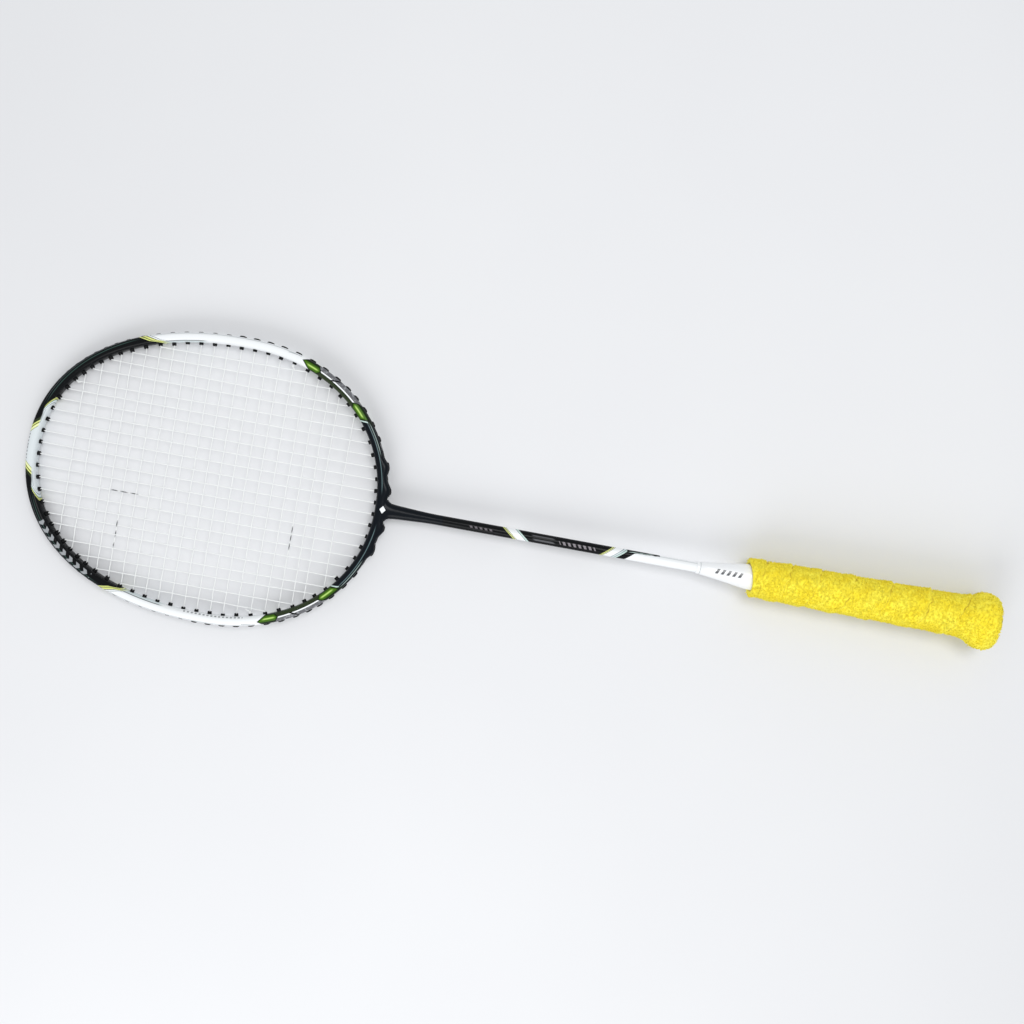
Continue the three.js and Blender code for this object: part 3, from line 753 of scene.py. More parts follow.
def make_holes():
    """The holes from the throat on the +Y side, round the tip, to the throat on the -Y side."""
    side = spaced_holes(shared_holes(string_ends()))
    holes = [dict(hole, sign=1) for hole in reversed(side)]
    holes += [dict(hole, sign=-1, angle=-hole["angle"]) for hole in side]
    angles = [(a["angle"] + b["angle"]) / 2 for a, b in zip(holes, holes[1:])]
    stations = [{"angle": angle, "at": ring_point(angle)} for angle in [math.pi, *angles, -math.pi]]
    for index, hole in enumerate(holes):
        start, end = stations[index : index + 2]
        along = end["at"] - start["at"]
        hole["index"] = index
        hole["along"] = along / np.linalg.norm(along)
        hole["out"] = np.cross([0, 0, 1], hole["along"])
        hole["middle"] = (start["at"] + end["at"]) / 2
        hole["swell"] = swell(hole["angle"])
        hole["floor"] = groove_floor(hole["swell"])
    for index, station in enumerate(stations):
        out = holes[index - 1]["out"] + holes[index % len(holes)]["out"]
        station["out"] = out / np.linalg.norm(out)
    return holes, stations


HOLES, STATIONS = make_holes()


class Centreline:
    """The head's centreline at even steps, from the throat on the -Y side round the tip."""

    def __init__(self):
        fine = np.linspace(-math.pi, math.pi, 7201)
        points = np.array([ring_point(angle) for angle in fine])
        lengths = np.concatenate([[0], np.cumsum(np.linalg.norm(np.diff(points, axis=0), axis=1))])
        count = round(lengths[-1] / 1.0)
        self.run = (np.arange(count) / count - 0.5) * lengths[-1]
        self.angle = np.interp(self.run + lengths[-1] / 2, lengths, fine)
        self.at = np.array([ring_point(angle) for angle in self.angle])
        self.out = np.array([ring_outward(angle) for angle in self.angle])
        self.swell = np.array([swell(angle) for angle in self.angle])

    def measure(self, points):
        """How far points are along the centreline, and out from it: as at no swelling, and in fact."""
        batch = 4000
        along = np.empty(len(points))
        side = np.empty(len(points))
        offset = np.empty(len(points))
        for start in range(0, len(points), batch):
            part = points[start : start + batch]
            gap = part[:, None, :2] - self.at[None, :, :2]
            near = (gap**2).sum(axis=2).argmin(axis=1)
            rest = part - self.at[near]
            tangent = np.cross([0, 0, 1], self.out[near])
            along[start : start + batch] = np.abs(self.run[near] + (rest * tangent).sum(axis=1))
            out = (rest * self.out[near]).sum(axis=1)
            wide = self.swell[near]
            offset[start : start + batch] = out
            side[start : start + batch] = (out - TUBE_HALF * (wide - 1)) / wide
        return along, side, offset


CENTRELINE = Centreline()


def paint_head(piece):
    """Gives a head piece the attributes that its lacquer is laid out by. The lean is how far, for each
    millimetre outwards, a painted edge moves towards the tip."""
    points = points_of(piece)
    along, side, offset = CENTRELINE.measure(points)
    places = [0, 60, 80, 150, 205, 264, 272, 345]
    outer = [1.2, 1.2, 1.7, 1.7, 0.0, 0.0, -0.95, -0.95]
    inner = [3.6, 3.6, 3.8, 3.8, 0.0, 0.0, -0.95, -0.95]
    halves_meet = np.where(along < TIP_PAINT, TIP_HALVES_MEET, HALVES_MEET)
    lean = np.where(side > halves_meet, np.interp(along, places, outer), np.interp(along, places, inner))
    set_values(piece, "paint", along + lean * (side - HALVES_MEET))
    set_values(piece, "run", along)
    set_values(piece, "side", side)
    set_values(piece, "offset", offset)
    set_values(piece, "height", np.abs(points[:, 2]))


def ring_section():
    """The tube's outline in its own plane, as [outwards, up] points: a rounded box with a lipped groove."""
    power = 2.75
    lip = math.asin(0.5 ** (power / 2))
    half = []
    for turn in np.linspace(math.pi, lip, 17):
        out = math.copysign(abs(math.cos(turn)) ** (2 / power), math.cos(turn))
        half.append((TUBE_HALF * out, TUBE_HALF_HEIGHT * math.sin(turn) ** (2 / power)))
    half += [(3.02, 2.38), (2.86, 2.25), (2.5, 2.15), (2.12, 2.05)]
    half += [(GROOVE_FLOOR, 1.85), (GROOVE_FLOOR, 0.7)]
    mirrored = [(out, -up) for out, up in reversed(half[1:])]
    return half + mirrored


def make_ring():
    section = np.array(ring_section())
    rows = []
    for at, out, wide in zip(CENTRELINE.at, CENTRELINE.out, CENTRELINE.swell):
        across = out * wide
        start = at + out * TUBE_HALF * (wide - 1)
        rows.append(start + section[:, :1] * across + section[:, 1:] * np.array([0, 0, 1]))
    ring = add_piece("head_ring", *loft(rows, wrap=True))
    combine(ring, "DIFFERENCE", drills(HOLES, HOLE_RADIUS, 9, 16))
    shade(ring, 38)
    dress(ring, HEAD_LACQUER)
    paint_head(ring)
    return show(ring, "head_lacquer", "head_frame")


def on_hole(points, hole):
    """Points given as [along the ring, out of the head, up], set on a hole."""
    basis = np.stack([hole["along"], hole["out"], [0, 0, 1]])
    return np.asarray(points, float) @ basis + hole["middle"]


def pipe_on(hole, profile, sides):
    """A round rod or barrel on a hole's axis, through (radius, distance out) pairs."""
    points, faces = loft([disc(radius, out, sides)[:, [1, 0, 2]] for radius, out in profile])
    return on_hole(points, hole), faces


def drills(holes, radius, reach, sides=20):
    return merged([pipe_on(hole, [(radius, -reach), (radius, reach)], sides) for hole in holes])


def make_tee():
    """The stem between the ring and the shaft, flared into the ring and notched for the strings."""
    stations = [(SHAFT_FRONT, 3.5, 3.5, 2.0), (398, 3.52, 3.52, 2.0), (404, 3.7, 3.62, 2.05)]
    stations += [(411, 4.05, 3.8, 2.1), (418, 4.45, 4.05, 2.2), (423, 4.75, 4.25, 2.3)]
    stations += [(426.5, 5.05, 4.4, 2.35), (428.5, 5.5, 4.5, 2.4), (430, 6.3, 4.6, 2.45)]
    stations += [(431.2, 7.5, 4.7, 2.5), (432.2, 9.0, 4.8, 2.5), (433, 10.5, 4.85, 2.5)]
    stations += [(436, 10.5, 4.85, 2.5)]
    places, *shape = np.array(stations, float).T
    turn = full_turn(48)
    rows = []
    for x in np.concatenate([np.arange(SHAFT_FRONT, 425, 1.5), np.arange(425, 436.1, 0.5)]):
        wide, high, power = (np.interp(x, places, values) for values in shape)
        y = wide * np.sign(np.cos(turn)) * np.abs(np.cos(turn)) ** (2 / power)
        z = high * np.sign(np.sin(turn)) * np.abs(np.sin(turn)) ** (2 / power)
        rows.append(slice_at(x, y, z))
    tee = add_piece("tee_stem", *loft(rows))
    notches = []
    outline = rounded([(-5.5, -2.05), (0, -2.05), (0, 2.05), (-5.5, 2.05)], 0.8)
    for hole in (HOLES[0], HOLES[-1]):
        edge = hole["middle"] + hole["out"] * hole["floor"]
        sides = [np.full(len(outline), math.copysign(y, edge[1])) for y in (2.3, 12)]
        notches.append(loft([slice_at(edge[0] + outline[:, 0], side, outline[:, 1]) for side in sides]))
    combine(tee, "DIFFERENCE", merged(notches))
    shade(tee, 38)
    dress(tee, HEAD_LACQUER)
    # Plain black: its paint is laid out as the throat's, away from every stripe.
    for name, value in (("paint", 345.0), ("run", 345.0), ("side", -2.0), ("offset", -2.0), ("height", 4.0)):
        set_values(tee, name, np.full(len(tee.data.vertices), value))
    return show(tee, "head_lacquer", "tee_joint")


# ---------------------------------------------------------------- grommets


def barrel_shell(hole, seat):
    """A barrel with a rounded inner end, standing further out of the ring at some holes than at others."""
    end = -TUBE_HALF - BARREL_STAND - 0.35 * math.sin(hole["index"] * 2.4)
    profile = [(0.75, end), (1.2, end), (1.38, end + 0.1)]
    profile += [(BARREL_RADIUS, end + 0.3), (BARREL_RADIUS, seat + 0.1)]
    return pipe_on(hole, profile, 20)


def saddle_shell(hole, seat, proud, half_length):
    """The outer pad of a grommet: a floor for the strings between two rounded cheeks that stand proud."""
    half_height = 1.78
    heights = np.array([-1, -0.97, -0.86, -0.74, -0.68, -0.3, 0.3, 0.68, 0.74, 0.86, 0.97, 1]) * half_height
    lengths = np.linspace(-1, 1, 13)
    top = []
    base = []
    for share in lengths:
        crown = max(0.0, 1 - abs(share) ** 3.5) ** 0.4
        for up in heights:
            cheek = min(1.0, max(0.0, (abs(up) / half_height - 0.66) / 0.14))
            edge = 1 - 0.25 * max(0.0, (abs(up) / half_height - 0.9) / 0.1) ** 2
            rise = FLANGE_THICKNESS + (proud - FLANGE_THICKNESS) * cheek * edge * crown
            narrow = 1 - 0.25 * abs(share) ** 4
            top.append((share * half_length, seat + max(rise, 0.12), up * narrow))
            base.append((share * half_length, seat, up * narrow))
    columns = len(heights)
    rows = len(lengths)
    size = rows * columns
    faces = grid_faces(rows, columns, wrap_columns=False)
    faces += [face[::-1] for face in grid_faces(rows, columns, wrap_columns=False, start=size)]
    rim = list(range(columns))
    rim += [i * columns + columns - 1 for i in range(1, rows)]
    rim += [(rows - 1) * columns + i for i in range(columns - 2, -1, -1)]
    rim += [i * columns for i in range(rows - 2, 0, -1)]
    for a, b in zip(rim, rim[1:] + rim[:1]):
        faces.append([a, b, b + size, a + size])
    return on_hole(top + base, hole), faces


def make_single(name, hole, node):
    """One grommet: a barrel through the ring and a pad in the groove."""
    seat = hole["floor"] + SEAT_GAP
    by_stem = abs(hole["middle"][1]) < SWELL_REACH
    proud = TUBE_HALF * (2 * hole["swell"] - 1) + (0.1 if by_stem else 0.9) - seat
    grommet = add_piece(name, *barrel_shell(hole, seat))
    combine(grommet, "UNION", saddle_shell(hole, seat, proud, 2.5))
    combine(grommet, "DIFFERENCE", drills([hole], BARREL_BORE, 12))
    return dress_grommet(grommet, node)


def dress_grommet(grommet, node):
    shade(grommet, 42)
    dress(grommet, NYLON)
    return show(grommet, "grommet_nylon", node)


def make_strip(name, row, node):
    """Ten barrels under one band, which lies on the groove's floor."""
    seat = GROOVE_FLOOR + SEAT_GAP
    top = seat + FLANGE_THICKNESS
    first, last = row[0]["index"], row[-1]["index"]
    reach = 2.7
    steps = 80
    half_height = 1.7
    start = row[0]["middle"] - row[0]["along"] * reach
    end = row[-1]["middle"] + row[-1]["along"] * reach
    mids = []
    for i in range(first, last + 1):
        mids.append(HOLES[i]["middle"])
        if i < last:
            mids.append(STATIONS[i + 1]["at"])
    path = resample(np.array([start, *mids, end]), steps)
    out = np.cross([0, 0, 1], unit(np.gradient(path, axis=0)))
    corners = [(seat, -half_height), (top, -half_height), (top, half_height), (seat, half_height)]
    outline = rounded(corners, 0.14)
    rows = []
    for i, (at, outward) in enumerate(zip(path, out)):
        tip = min(i, steps - 1 - i)
        narrow = min(1.0, 0.6 + 0.16 * tip)
        rows.append(at + outline[:, :1] * outward + outline[:, 1:] * narrow * np.array([0, 0, 1]))
    band = add_piece(name, *loft(rows))
    combine(band, "UNION", merged([barrel_shell(hole, seat) for hole in row]))
    proud = TUBE_HALF + 0.4 - seat
    combine(band, "UNION", merged([saddle_shell(hole, seat, proud, 2.1) for hole in row]))
    combine(band, "DIFFERENCE", drills(row, BARREL_BORE, 12))
    return dress_grommet(band, node)


def resample(path, count):
    """Evenly spaced points along a polyline."""
    lengths = np.concatenate([[0], np.cumsum(np.linalg.norm(np.diff(path, axis=0), axis=1))])
    places = np.linspace(0, lengths[-1], count)
    return np.stack([np.interp(places, lengths, path[:, k]) for k in range(3)], axis=1)


def make_grommets():
    sides = (("right", HOLES[:HOLES_PER_SIDE]), ("left", HOLES[HOLES_PER_SIDE:][::-1]))
    for side, row in sides:
        for i, hole in enumerate(row[:SINGLES_PER_SIDE]):
            number = f"{i + 1:02d}"
            make_single(f"eyelet_{side}_{number}", hole, f"grommet_{side}_{number}")
        for i, place in enumerate(("side", "tip")):
            start = SINGLES_PER_SIDE + i * STRIP_LENGTH
            strip = sorted(row[start : start + STRIP_LENGTH], key=lambda hole: hole["index"])
            make_strip(f"eyelet_strip_{side}_{place}", strip, f"grommet_strip_{side}_{place}")


# ---------------------------------------------------------------- strings


STRING_CLEAR = SEAT_GAP + FLANGE_THICKNESS + STRING_RADIUS + SEAT_GAP


def string_lift(hole):
    return hole["floor"] + STRING_CLEAR


def in_groove(hole, lane):
    point = hole["middle"] + hole["out"] * string_lift(hole)
    return np.array([point[0], point[1], lane])


def at_barrel_end(hole, lane, stand=0.4):
    point = hole["middle"] - hole["out"] * (TUBE_HALF + BARREL_STAND + stand)
    return np.array([point[0], point[1], lane])


def along_groove(start, end, lane):
    """The run in the groove from one hole to another, past the stations and holes between them."""
    step = 1 if end["index"] > start["index"] else -1
    run = [in_groove(start, lane / 2)]
    index = start["index"]
    while index != end["index"]:
        here, there = HOLES[index], HOLES[index + step]
        station = STATIONS[index + 1 if step > 0 else index]
        own_lift = groove_floor(swell(station["angle"])) + STRING_CLEAR
        lift = max(own_lift, (string_lift(here) + string_lift(there)) / 2)
        point = station["at"] + station["out"] * lift
        run.append(np.array([point[0], point[1], lane]))
        index += step
        if index != end["index"]:
            run.append(in_groove(there, lane))
    return [*run, in_groove(end, lane / 2)]


def hole_of(sign, *end):
    return next(hole for hole in HOLES if hole["sign"] == sign and end in hole["ends"])


def run_holes(kind, number):
    """The two holes of a run: a main's by the throat and at the tip, or a cross's on the +Y and -Y sides."""
    if kind == "cross":
        return [hole_of(sign, "cross", number, None) for sign in (1, -1)]
    half = MAIN_COUNT // 2
    sign, index = (1, half - 1 - number) if number < half else (-1, number - half)
    return [hole_of(sign, "main", index, at_tip) for at_tip in (False, True)]


def tie_hole(hole, step, kind):
    """The nearest hole, going by step, that holds no string of the named kind."""
    index = hole["index"] + step
    while any(end[0] == kind for end in HOLES[index]["ends"]):
        index += step
    return HOLES[index]


# How many runs a kind of string has, and the side of the string bed on which it goes through the holes.
KINDS = {"main": (MAIN_COUNT, 1), "cross": (CROSS_COUNT, -1)}


def run_ends(kind, number):
    return [at_barrel_end(hole, KINDS[kind][1] * BORE_LANE) for hole in run_holes(kind, number)]


def flat_crossing(first, second):
    a, b = first
    c, d = second
    r, s, offset = b - a, d - c, c - a
    share = (offset[0] * s[1] - offset[1] * s[0]) / (r[0] * s[1] - r[1] * s[0])
    return a + r * share


def crossings():
    """Where each main meets each cross inside the head, as {(main, cross): point}."""
    found = {}
    clear = 2
    mains = [run_ends("main", i) for i in range(MAIN_COUNT)]
    crosses = [run_ends("cross", i) for i in range(CROSS_COUNT)]
    for i, main in enumerate(mains):
        for j, cross in enumerate(crosses):
            point = flat_crossing(cross, main)
            nearest = min(np.linalg.norm((point - end)[:2]) for end in [*main, *cross])
            reach = min(abs(end[1]) for end in cross)
            if nearest >= clear and abs(point[1]) < reach and main[0][0] < point[0] < main[1][0]:
                found[i, j] = point
    return found


CROSSINGS = crossings()


def woven(ends, points, sides, lane):
    """A string between two barrels, over and under the others: it sways from one side to the next."""
    sway = 4
    knots = [ends[0]]
    for point, side in zip(points, sides):
        distance = min(np.linalg.norm((point - end)[:2]) for end in ends)
        level = lane * max(0, 1 - distance / SETTLE)
        knots.append(np.array([point[0], point[1], level + side * HALF_WEAVE]))
    knots.append(ends[1])
    run = [knots[0]]
    for a, b in zip(knots, knots[1:]):
        for i in range(1, sway + 1):
            share = i / sway
            ease = share * share * (3 - 2 * share)
            point = a + (b - a) * share
            run.append(np.array([point[0], point[1], a[2] + (b[2] - a[2]) * ease]))
    return run


def knot(hole, lane):
    """The tied end: two turns round, drawn up against the barrel, and a short tail."""
    stand = 1.15
    middle = at_barrel_end(hole, lane + math.copysign(0.9, lane), stand)
    turns = 2.2
    coil = []
    for share in np.linspace(0, 1, 26):
        turn = share * turns * 2 * math.pi
        coil.append([0.6 * math.cos(turn), 0.9 - 1.5 * share, 0.6 * math.sin(turn)])
    tail = [[0.6 + 0.7 * i, -0.6 - 0.5 * i, 0.2 * i] for i in (1, 2, 3)]
    return list(on_hole(coil + tail, hole) - hole["middle"] + middle)


def softened(points, reach=0.7):
    """A path whose sharp corners are rounded off."""
    points = [p for i, p in enumerate(points) if not i or np.linalg.norm(p - points[i - 1]) > 0.05]
    result = [points[0]]
    for before, corner, after in zip(points, points[1:], points[2:]):
        straight = unit(before - corner) @ unit(after - corner) < -0.9
        result += [corner] if straight else eased(before, corner, after, reach)
    return [*result, points[-1]]


def route(kind):
    """One length from a knot, to and fro through all its runs, to another knot. Each run goes over and under
    the ones it meets."""
    count, sign = KINDS[kind]
    lane = sign * BORE_LANE
    groove = sign * GROOVE_LANE
    place = 0 if kind == "main" else 1
    holes = [run_holes(kind, number) for number in range(count)]
    first = tie_hole(holes[0][0], sign, kind)
    path = [*knot(first, lane)[::-1], at_barrel_end(first, lane)]
    path += along_groove(first, holes[0][0], groove)
    for number in range(count):
        back = number % 2
        met = [(sum(pair), point) for pair, point in CROSSINGS.items() if pair[place] == number]
        sides = [-sign if order % 2 else sign for order, _ in met]
        run = woven(run_ends(kind, number), [point for _, point in met], sides, lane)
        path += run[::-1] if back else run
        if number + 1 < count:
            path += along_groove(holes[number][1 - back], holes[number + 1][1 - back], groove)
    end = holes[-1][count % 2]
    last = tie_hole(end, -1, kind)
    path += along_groove(end, last, groove)
    return [*path, at_barrel_end(last, lane), *knot(last, lane)]


# The printed dashes, as boxes of (x, x, y, y).
DASHES = {
    "main": [(start, end, 18, 21.5) for start, end in ((599, 602.5), (605, 609), (612, 616.5))],
    "cross": [(606, 612, y, y + 3.6) for y in (40.5, 47, 54)],
}
DASHES["cross"] += [(489, 495, y, y + 3.6) for y in (22.5, 28, 33.5)]


def make_string(kind):
    string = add_piece(f"strings_{kind}", *tube(softened(route(kind)), STRING_RADIUS, 8), STRING)
    points = points_of(string)
    marked = np.zeros(len(points))
    for x0, x1, y0, y1 in DASHES[kind]:
        inside = (points[:, 0] > x0) & (points[:, 0] < x1) & (points[:, 1] > y0) & (points[:, 1] < y1)
        marked[inside] = 1
    set_values(string, "dashes", marked)
    return show(string, "string", f"{kind}_string")


# ---------------------------------------------------------------- shaft, cone and butt


def make_shaft():
    bore = 2.3
    lengths = np.arange(SHAFT_BACK, SHAFT_FRONT + 1, 4)
    outside = [(x, SHAFT_RADIUS) for x in lengths]
    inside = [(x, bore) for x in (SHAFT_FRONT, SHAFT_BACK)]
    shaft = add_piece("shaft_tube", *turned(outside + inside, 64), SHAFT_LACQUER, 40)
    return show(shaft, "shaft_lacquer", "shaft")


def make_cone():
    """The moulded cone, with a rounded lip where the shaft goes in and a shallow line behind it."""
    outline = [(214.6, 3.56), (214.6, 3.86), (214.3, 4.02), (213.7, 4.1), (212.6, 4.16), (212.35, 4.08)]
    outline += [(212.0, 4.1), (211.7, 4.32), (207, 4.85), (200, 5.75), (192, 6.85), (186, 7.75), (181, 8.55)]
    outline += [(175, 9.0), (167, 9.2), (166.4, 9.0), (166.4, 8.5), (175.5, 8.5), (175.5, 3.56)]
    cone = add_piece("cone_moulding", *turned(outline, 72), WHITE_GLOSS, 50)
    return show(cone, "white_gloss", "cone_cap")


def flat_fold(turn):
    """The angle from the middle of the nearest of eight flats."""
    return (turn + math.pi / 8) % (math.pi / 4) - math.pi / 8


def octagon(half, x, count=64):
    """An eight-sided ring of points with eased corners, half a width across its flats."""
    turn = full_turn(count)
    flat = half / np.cos(flat_fold(turn))
    corner = half * (1 + 0.45 * (1 / math.cos(math.pi / 8) - 1))
    radius = np.minimum(flat, corner + (flat - half) * 0.35)
    return slice_at(x, radius * np.cos(turn), radius * np.sin(turn))


def make_butt():
    """The flared cap, with a shallow round recess in its end and a socket for the wooden core."""
    rows = [octagon(half, x) for x, half in ((30, 10.9), (29.6, 11.0), (20, 12.4), (13, 15.0), (8, 15.8))]
    rows += [octagon(half, x) for x, half in ((4.6, 13.4), (3.2, 12.2), (2.0, 11.0), (0.8, 9.6), (0, 8.7))]
    rows += [disc(radius, x) for radius, x in ((8.2, 0), (7.9, 0.1), (7.7, 0.5), (7.3, 0.7), (0.6, 0.7))]
    rows += [disc(0.6, 2.4), octagon(9.6, 2.6), octagon(10.2, 3.2), octagon(10.2, 29.6), octagon(10.4, 30)]
    cap = add_piece("butt_moulding", *loft(rows, wrap=True), CAP, 40)
    return show(cap, "cap_plastic", "butt_cap")


# ---------------------------------------------------------------- towelling

TOWEL_FRONT = 178.8
GRIP_PROFILE = [(0.8, 14.2), (1.6, 15.8), (3, 17.3), (6.2, 18.9), (9.5, 19.5), (13, 19.1), (15.8, 18.2)]
GRIP_PROFILE += [(18.8, 16.4), (22, 15.1), (26.5, 14.4), (35, 13.9), (45, 14.0), (60, 13.9), (110, 13.4)]
GRIP_PROFILE += [(150, 13.0), (174, 12.6), (TOWEL_FRONT - 0.9, 12.4), (TOWEL_FRONT - 0.3, 12.0)]
GRIP_PROFILE += [(TOWEL_FRONT, 11.2)]
# Where the edges of the wound strip cross the top of the grip.
SEAMS = [-15, 32.2, 54.6, 84.4, 109.7, 133.6, 153.7, 171.0, 189.0]
NAP = 0.5
SEAM_WIDTH = 1.3
FAR_FROM_SEAM = 30.0


def past_seam(x, turn):
    """How far a point is past the last edge of the wound strip, and how far before the next, in millimetres.
    An edge runs towards the head as it goes over the top from -Y to +Y."""
    lap = (turn / (2 * math.pi) + 0.5) % 1 - 0.5
    order = np.arange(len(SEAMS))
    ragged = noise.noise(Vector((x * 0.12, 3 * math.sin(turn), 3 * math.cos(turn))))
    edges = np.interp(order + lap, order, SEAMS) + 2.2 * ragged
    index = int(np.searchsorted(edges, x))
    before = x - edges[index - 1] if index else FAR_FROM_SEAM
    after = edges[index] - x if index < len(edges) else FAR_FROM_SEAM
    return before, after


def grip_height(x, turn, point):
    """The wound towelling's height over the plain profile, without its pile."""
    before, after = past_seam(x, turn)
    step = 1.1 * math.exp(-before / 9) - 0.3
    depth = 0.75 + 0.6 * noise.noise(Vector(point) * 0.11 + Vector((9, 0, 0)))
    nick = -0.85 * math.exp(-((before / SEAM_WIDTH) ** 2)) - 0.45 * math.exp(-((after / SEAM_WIDTH) ** 2))
    nick *= depth
    swing = 0.4 * noise.noise(Vector(point) * 0.07) + 0.3 * noise.noise(Vector(point) * 0.19)
    fade = min(1.0, (TOWEL_FRONT - x) / 2 + 0.3)
    calm = min(1.0, 0.3 + x / 30)
    return (step + nick) * fade * calm + swing


def seam_shade(x, turn):
    """The pile lies thinner along a seam, more in some places than in others; the same factor paints shade
    into the seam's colour.
    """
    before, after = past_seam(x, turn)
    patchy = 0.7 + 0.6 * noise.noise(Vector((x * 0.1, 3 * math.sin(turn), 3 * math.cos(turn))))
    return 1 - 0.9 * min(1.0, max(0.4, patchy)) * math.exp(-((min(before, after) / SEAM_WIDTH) ** 2))


def end_shift(x, turn):
    """The towelling's front edge is cut a little slantwise, and at the butt it is tucked in on top."""
    slant = -2.1 * (1 + math.sin(turn)) * max(0.0, (x - 150) / 31) ** 2
    return slant + 3.2 * max(0.0, math.cos(turn)) * max(0.0, 1 - x / 9)


def sag(x):
    """How far the flare's towelling lies towards +Y."""
    return 0.9 * min(1.0, max(0.0, (34 - x) / 20))


def pile_height(point):
    """The loops' rounded tops, from 0 between them to 1."""
    nearest = noise.voronoi(Vector(point) * 1.3)[0][0]
    fine = noise.noise(Vector(point) * 1.7)
    return max(0.0, 1 - nearest * 1.3) ** 0.6 * 0.75 + 0.25 * (0.5 + fine)


def make_grip():
    """The sleeve of towelling: a finely napped outside, following the core and cap inside."""
    around = 190
    profile = np.array(GRIP_PROFILE, float)
    steps = ((0.8, 6, 0.4), (6, 176, 0.5), (176, TOWEL_FRONT + 0.1, 0.35))
    xs = np.concatenate([np.arange(*step) for step in steps])
    turns = full_turn(around)
    rows = []
    pile_shades = []
    for x in xs:
        radius = np.interp(x, profile[:, 0], profile[:, 1])
        row = []
        for turn in turns:
            bare = (x, radius * math.sin(turn), radius * math.cos(turn))
            pile = pile_height(bare)
            height = radius + grip_height(x, turn, bare) + NAP * (pile - 0.5)
            wobble = 0.2 * noise.noise(Vector(bare) * 0.5 + Vector((50, 0, 0))) + end_shift(x, turn)
            row.append((x + wobble, height * math.sin(turn) + sag(x), height * math.cos(turn)))
            # Painted shade: the colour's level, low between loops and along the seams.
            pile_shades.append((0.25 + 0.75 * pile) * seam_shade(x, turn))
        rows.append(row)
    inside = [(TOWEL_FRONT - 0.1, 9.3), (TOWEL_FRONT - 0.6, 8.9), (175, 9.15), (168.3, 9.4), (166.3, 10.65)]
    inside += [(31, 11.1), (20, 12.8), (13, 15.4), (8, 16.1), (3, 13.9), (1.8, 12.6)]
    for x, half in inside:
        reach = half / (np.cos(flat_fold(turns)) if x < 168 else 1)
        slant = np.array([end_shift(x, turn) for turn in turns])
        rows.append(slice_at(x + slant, reach * np.sin(turns), reach * np.cos(turns)))
        # Painted shade: the inside of the sleeve is coloured dark.
        pile_shades += [0.1] * around
    grip = add_piece("towel_sleeve", *loft(np.array(rows), wrap=True), TOWEL)
    set_values(grip, "nap", pile_shades)
    show(grip, "towel", "towel_grip")


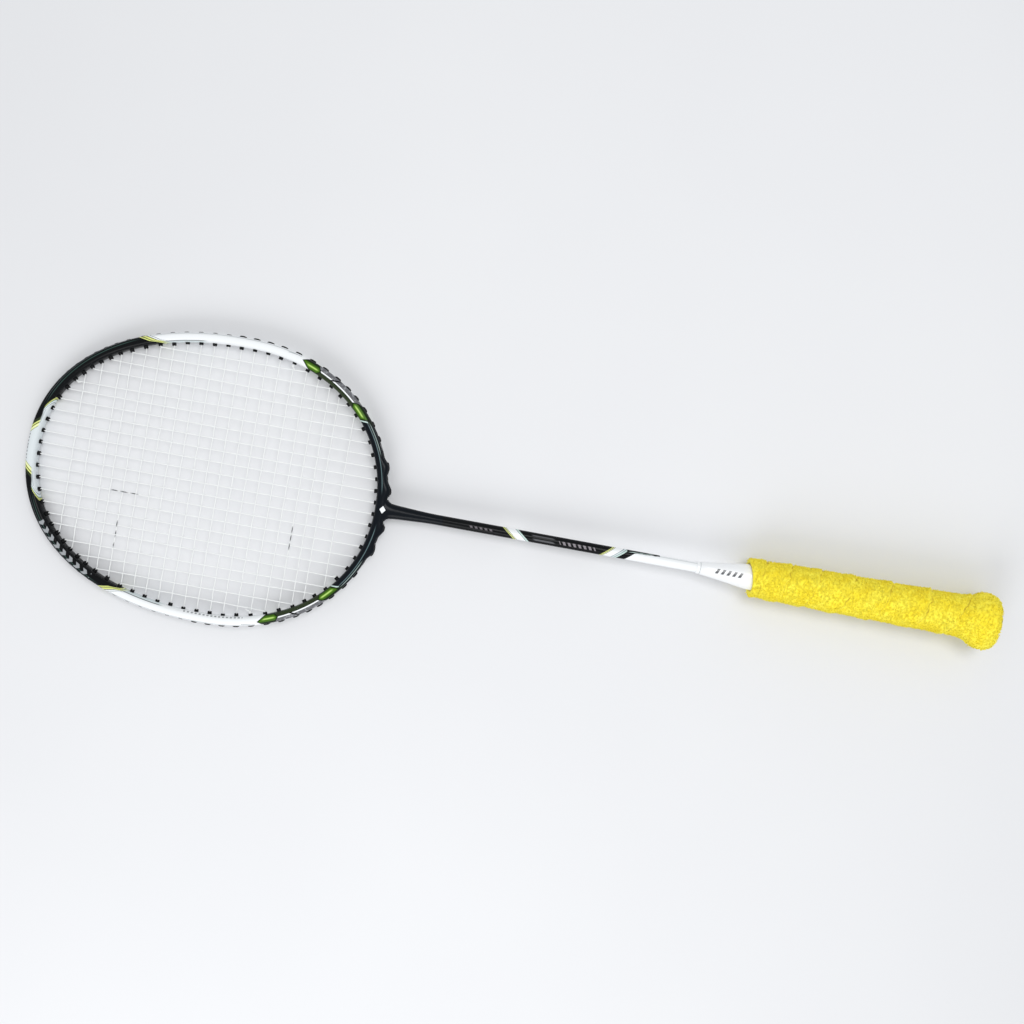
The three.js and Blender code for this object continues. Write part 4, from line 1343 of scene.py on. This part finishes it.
def make_pile(name, draw, count):
    """Thread loops standing out of the pile, all over the grip but in its seams."""
    profile = np.array(GRIP_PROFILE, float)
    sides = 3
    bends = np.array([-1.0, -0.75, 0.0, 0.75, 1.0])
    rings = []
    while len(rings) < count:
        x, turn, heading = draw.uniform((1.2, 0, 0), (TOWEL_FRONT - 0.2, 2 * math.pi, math.pi))
        width, height, thick = draw.uniform((0.3, 0.45, 0.14), (0.55, 1.0, 0.2))
        lean = draw.normal(0, 0.25, 3)
        if seam_shade(x, turn) < 0.6:
            continue
        radius = np.interp(x, profile[:, 0], profile[:, 1])
        outward = np.array((0, math.sin(turn), math.cos(turn)))
        bare = np.array((x, 0, 0)) + outward * radius
        base = bare + outward * (grip_height(x, turn, bare) - 0.1)
        base += (end_shift(x, turn), sag(x), 0)
        slope = np.interp([x + 0.5, x - 0.5], profile[:, 0], profile[:, 1]) @ (1, -1)
        up = unit(outward - np.array((slope, 0, 0)))
        first = unit(np.cross(up, (1, 0, 0)))
        along = first * math.cos(heading) + np.cross(up, first) * math.sin(heading)
        across = np.cross(along, up)
        rise = 1 - bends**2
        centres = base + np.outer(width * np.sin(bends * 1.9), along) + np.outer(height * rise, up + lean)
        normals = unit(np.outer(bends * 1.5, along) + up)
        turns = full_turn(sides)
        ring = normals[:, None] * np.cos(turns)[:, None] + across * np.sin(turns)[:, None]
        rings.append(centres[:, None] + thick * ring)
    points, faces = loft(rings[0])
    size = len(points)
    shape = np.array([face for face in faces if len(face) == 4])
    ends = np.array([face for face in faces if len(face) == 3])
    shift = np.arange(count)[:, None, None] * size
    all_faces = (shape + shift).reshape(-1, 4).tolist() + (ends + shift).reshape(-1, 3).tolist()
    pile = add_piece(name, np.array(rings).reshape(-1, 3), all_faces, TOWEL)
    # Painted shade: each loop darker at its feet than at its top.
    set_values(pile, "nap", np.tile(np.repeat([0.3, 0.7, 1.0, 0.7, 0.3], sides), count))
    show(pile, "towel")


def make_piles():
    draw = np.random.default_rng(7)
    for name in ("towel_pile_low", "towel_pile_middle", "towel_pile_high"):
        make_pile(name, draw, 6800)


# ---------------------------------------------------------------- stage


def make_stage():
    """A pale floor under the butt's flare and the tip of the head, a pale sky and two wide soft lamps."""
    near, near_height = 11, -20.4
    far, far_height = 672, -5.4
    slope = (far_height - near_height) / (far - near)
    size = 4000
    corners = []
    for x, y in ((-size, -size), (size, -size), (size, size), (-size, size)):
        corners.append((x + 300, y, near_height + slope * (x + 300 - near)))
    paint = Paint("floor", roughness=0.9, specular_ior_level=0.2)
    cloud = paint.mix(paint.noise(3, detail=3), rgb(222, 223, 226), rgb(230, 231, 233))
    paint.feed(paint.surface.inputs["Base Color"], cloud)
    floor = add_piece("floor", corners, [(0, 1, 2, 3)], paint.material)

    world = bpy.data.worlds.new("sky")
    world.use_nodes = True
    sky = world.node_tree.nodes["Background"]
    sky.inputs["Color"].default_value = (0.98, 0.99, 1.0, 1)
    sky.inputs["Strength"].default_value = 0.62
    bpy.context.scene.world = world

    for name, place, aim, size, power in (
        ("key", (0.1, -0.4, 1.5), (0.3, 0.0, 0), 0.7, 9),
        ("fill", (0.5, 1.0, 0.75), (0.3, 0, 0), 0.8, 6),
    ):
        data = bpy.data.lights.new(name, "AREA")
        data.shape = "DISK"
        data.size = size
        data.energy = power
        lamp = put(name, data)
        lamp.location = place
        lamp.rotation_euler = (Vector(place) - Vector(aim)).to_track_quat("Z", "Y").to_euler()
    bpy.context.scene.view_settings.view_transform = "Standard"


make_ring()
make_tee()
make_grommets()
make_string("main")
make_string("cross")
make_shaft()
make_cone()
make_butt()
make_grip()
make_piles()
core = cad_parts["handle_core"]
dress(core, WOOD)
make_stage()
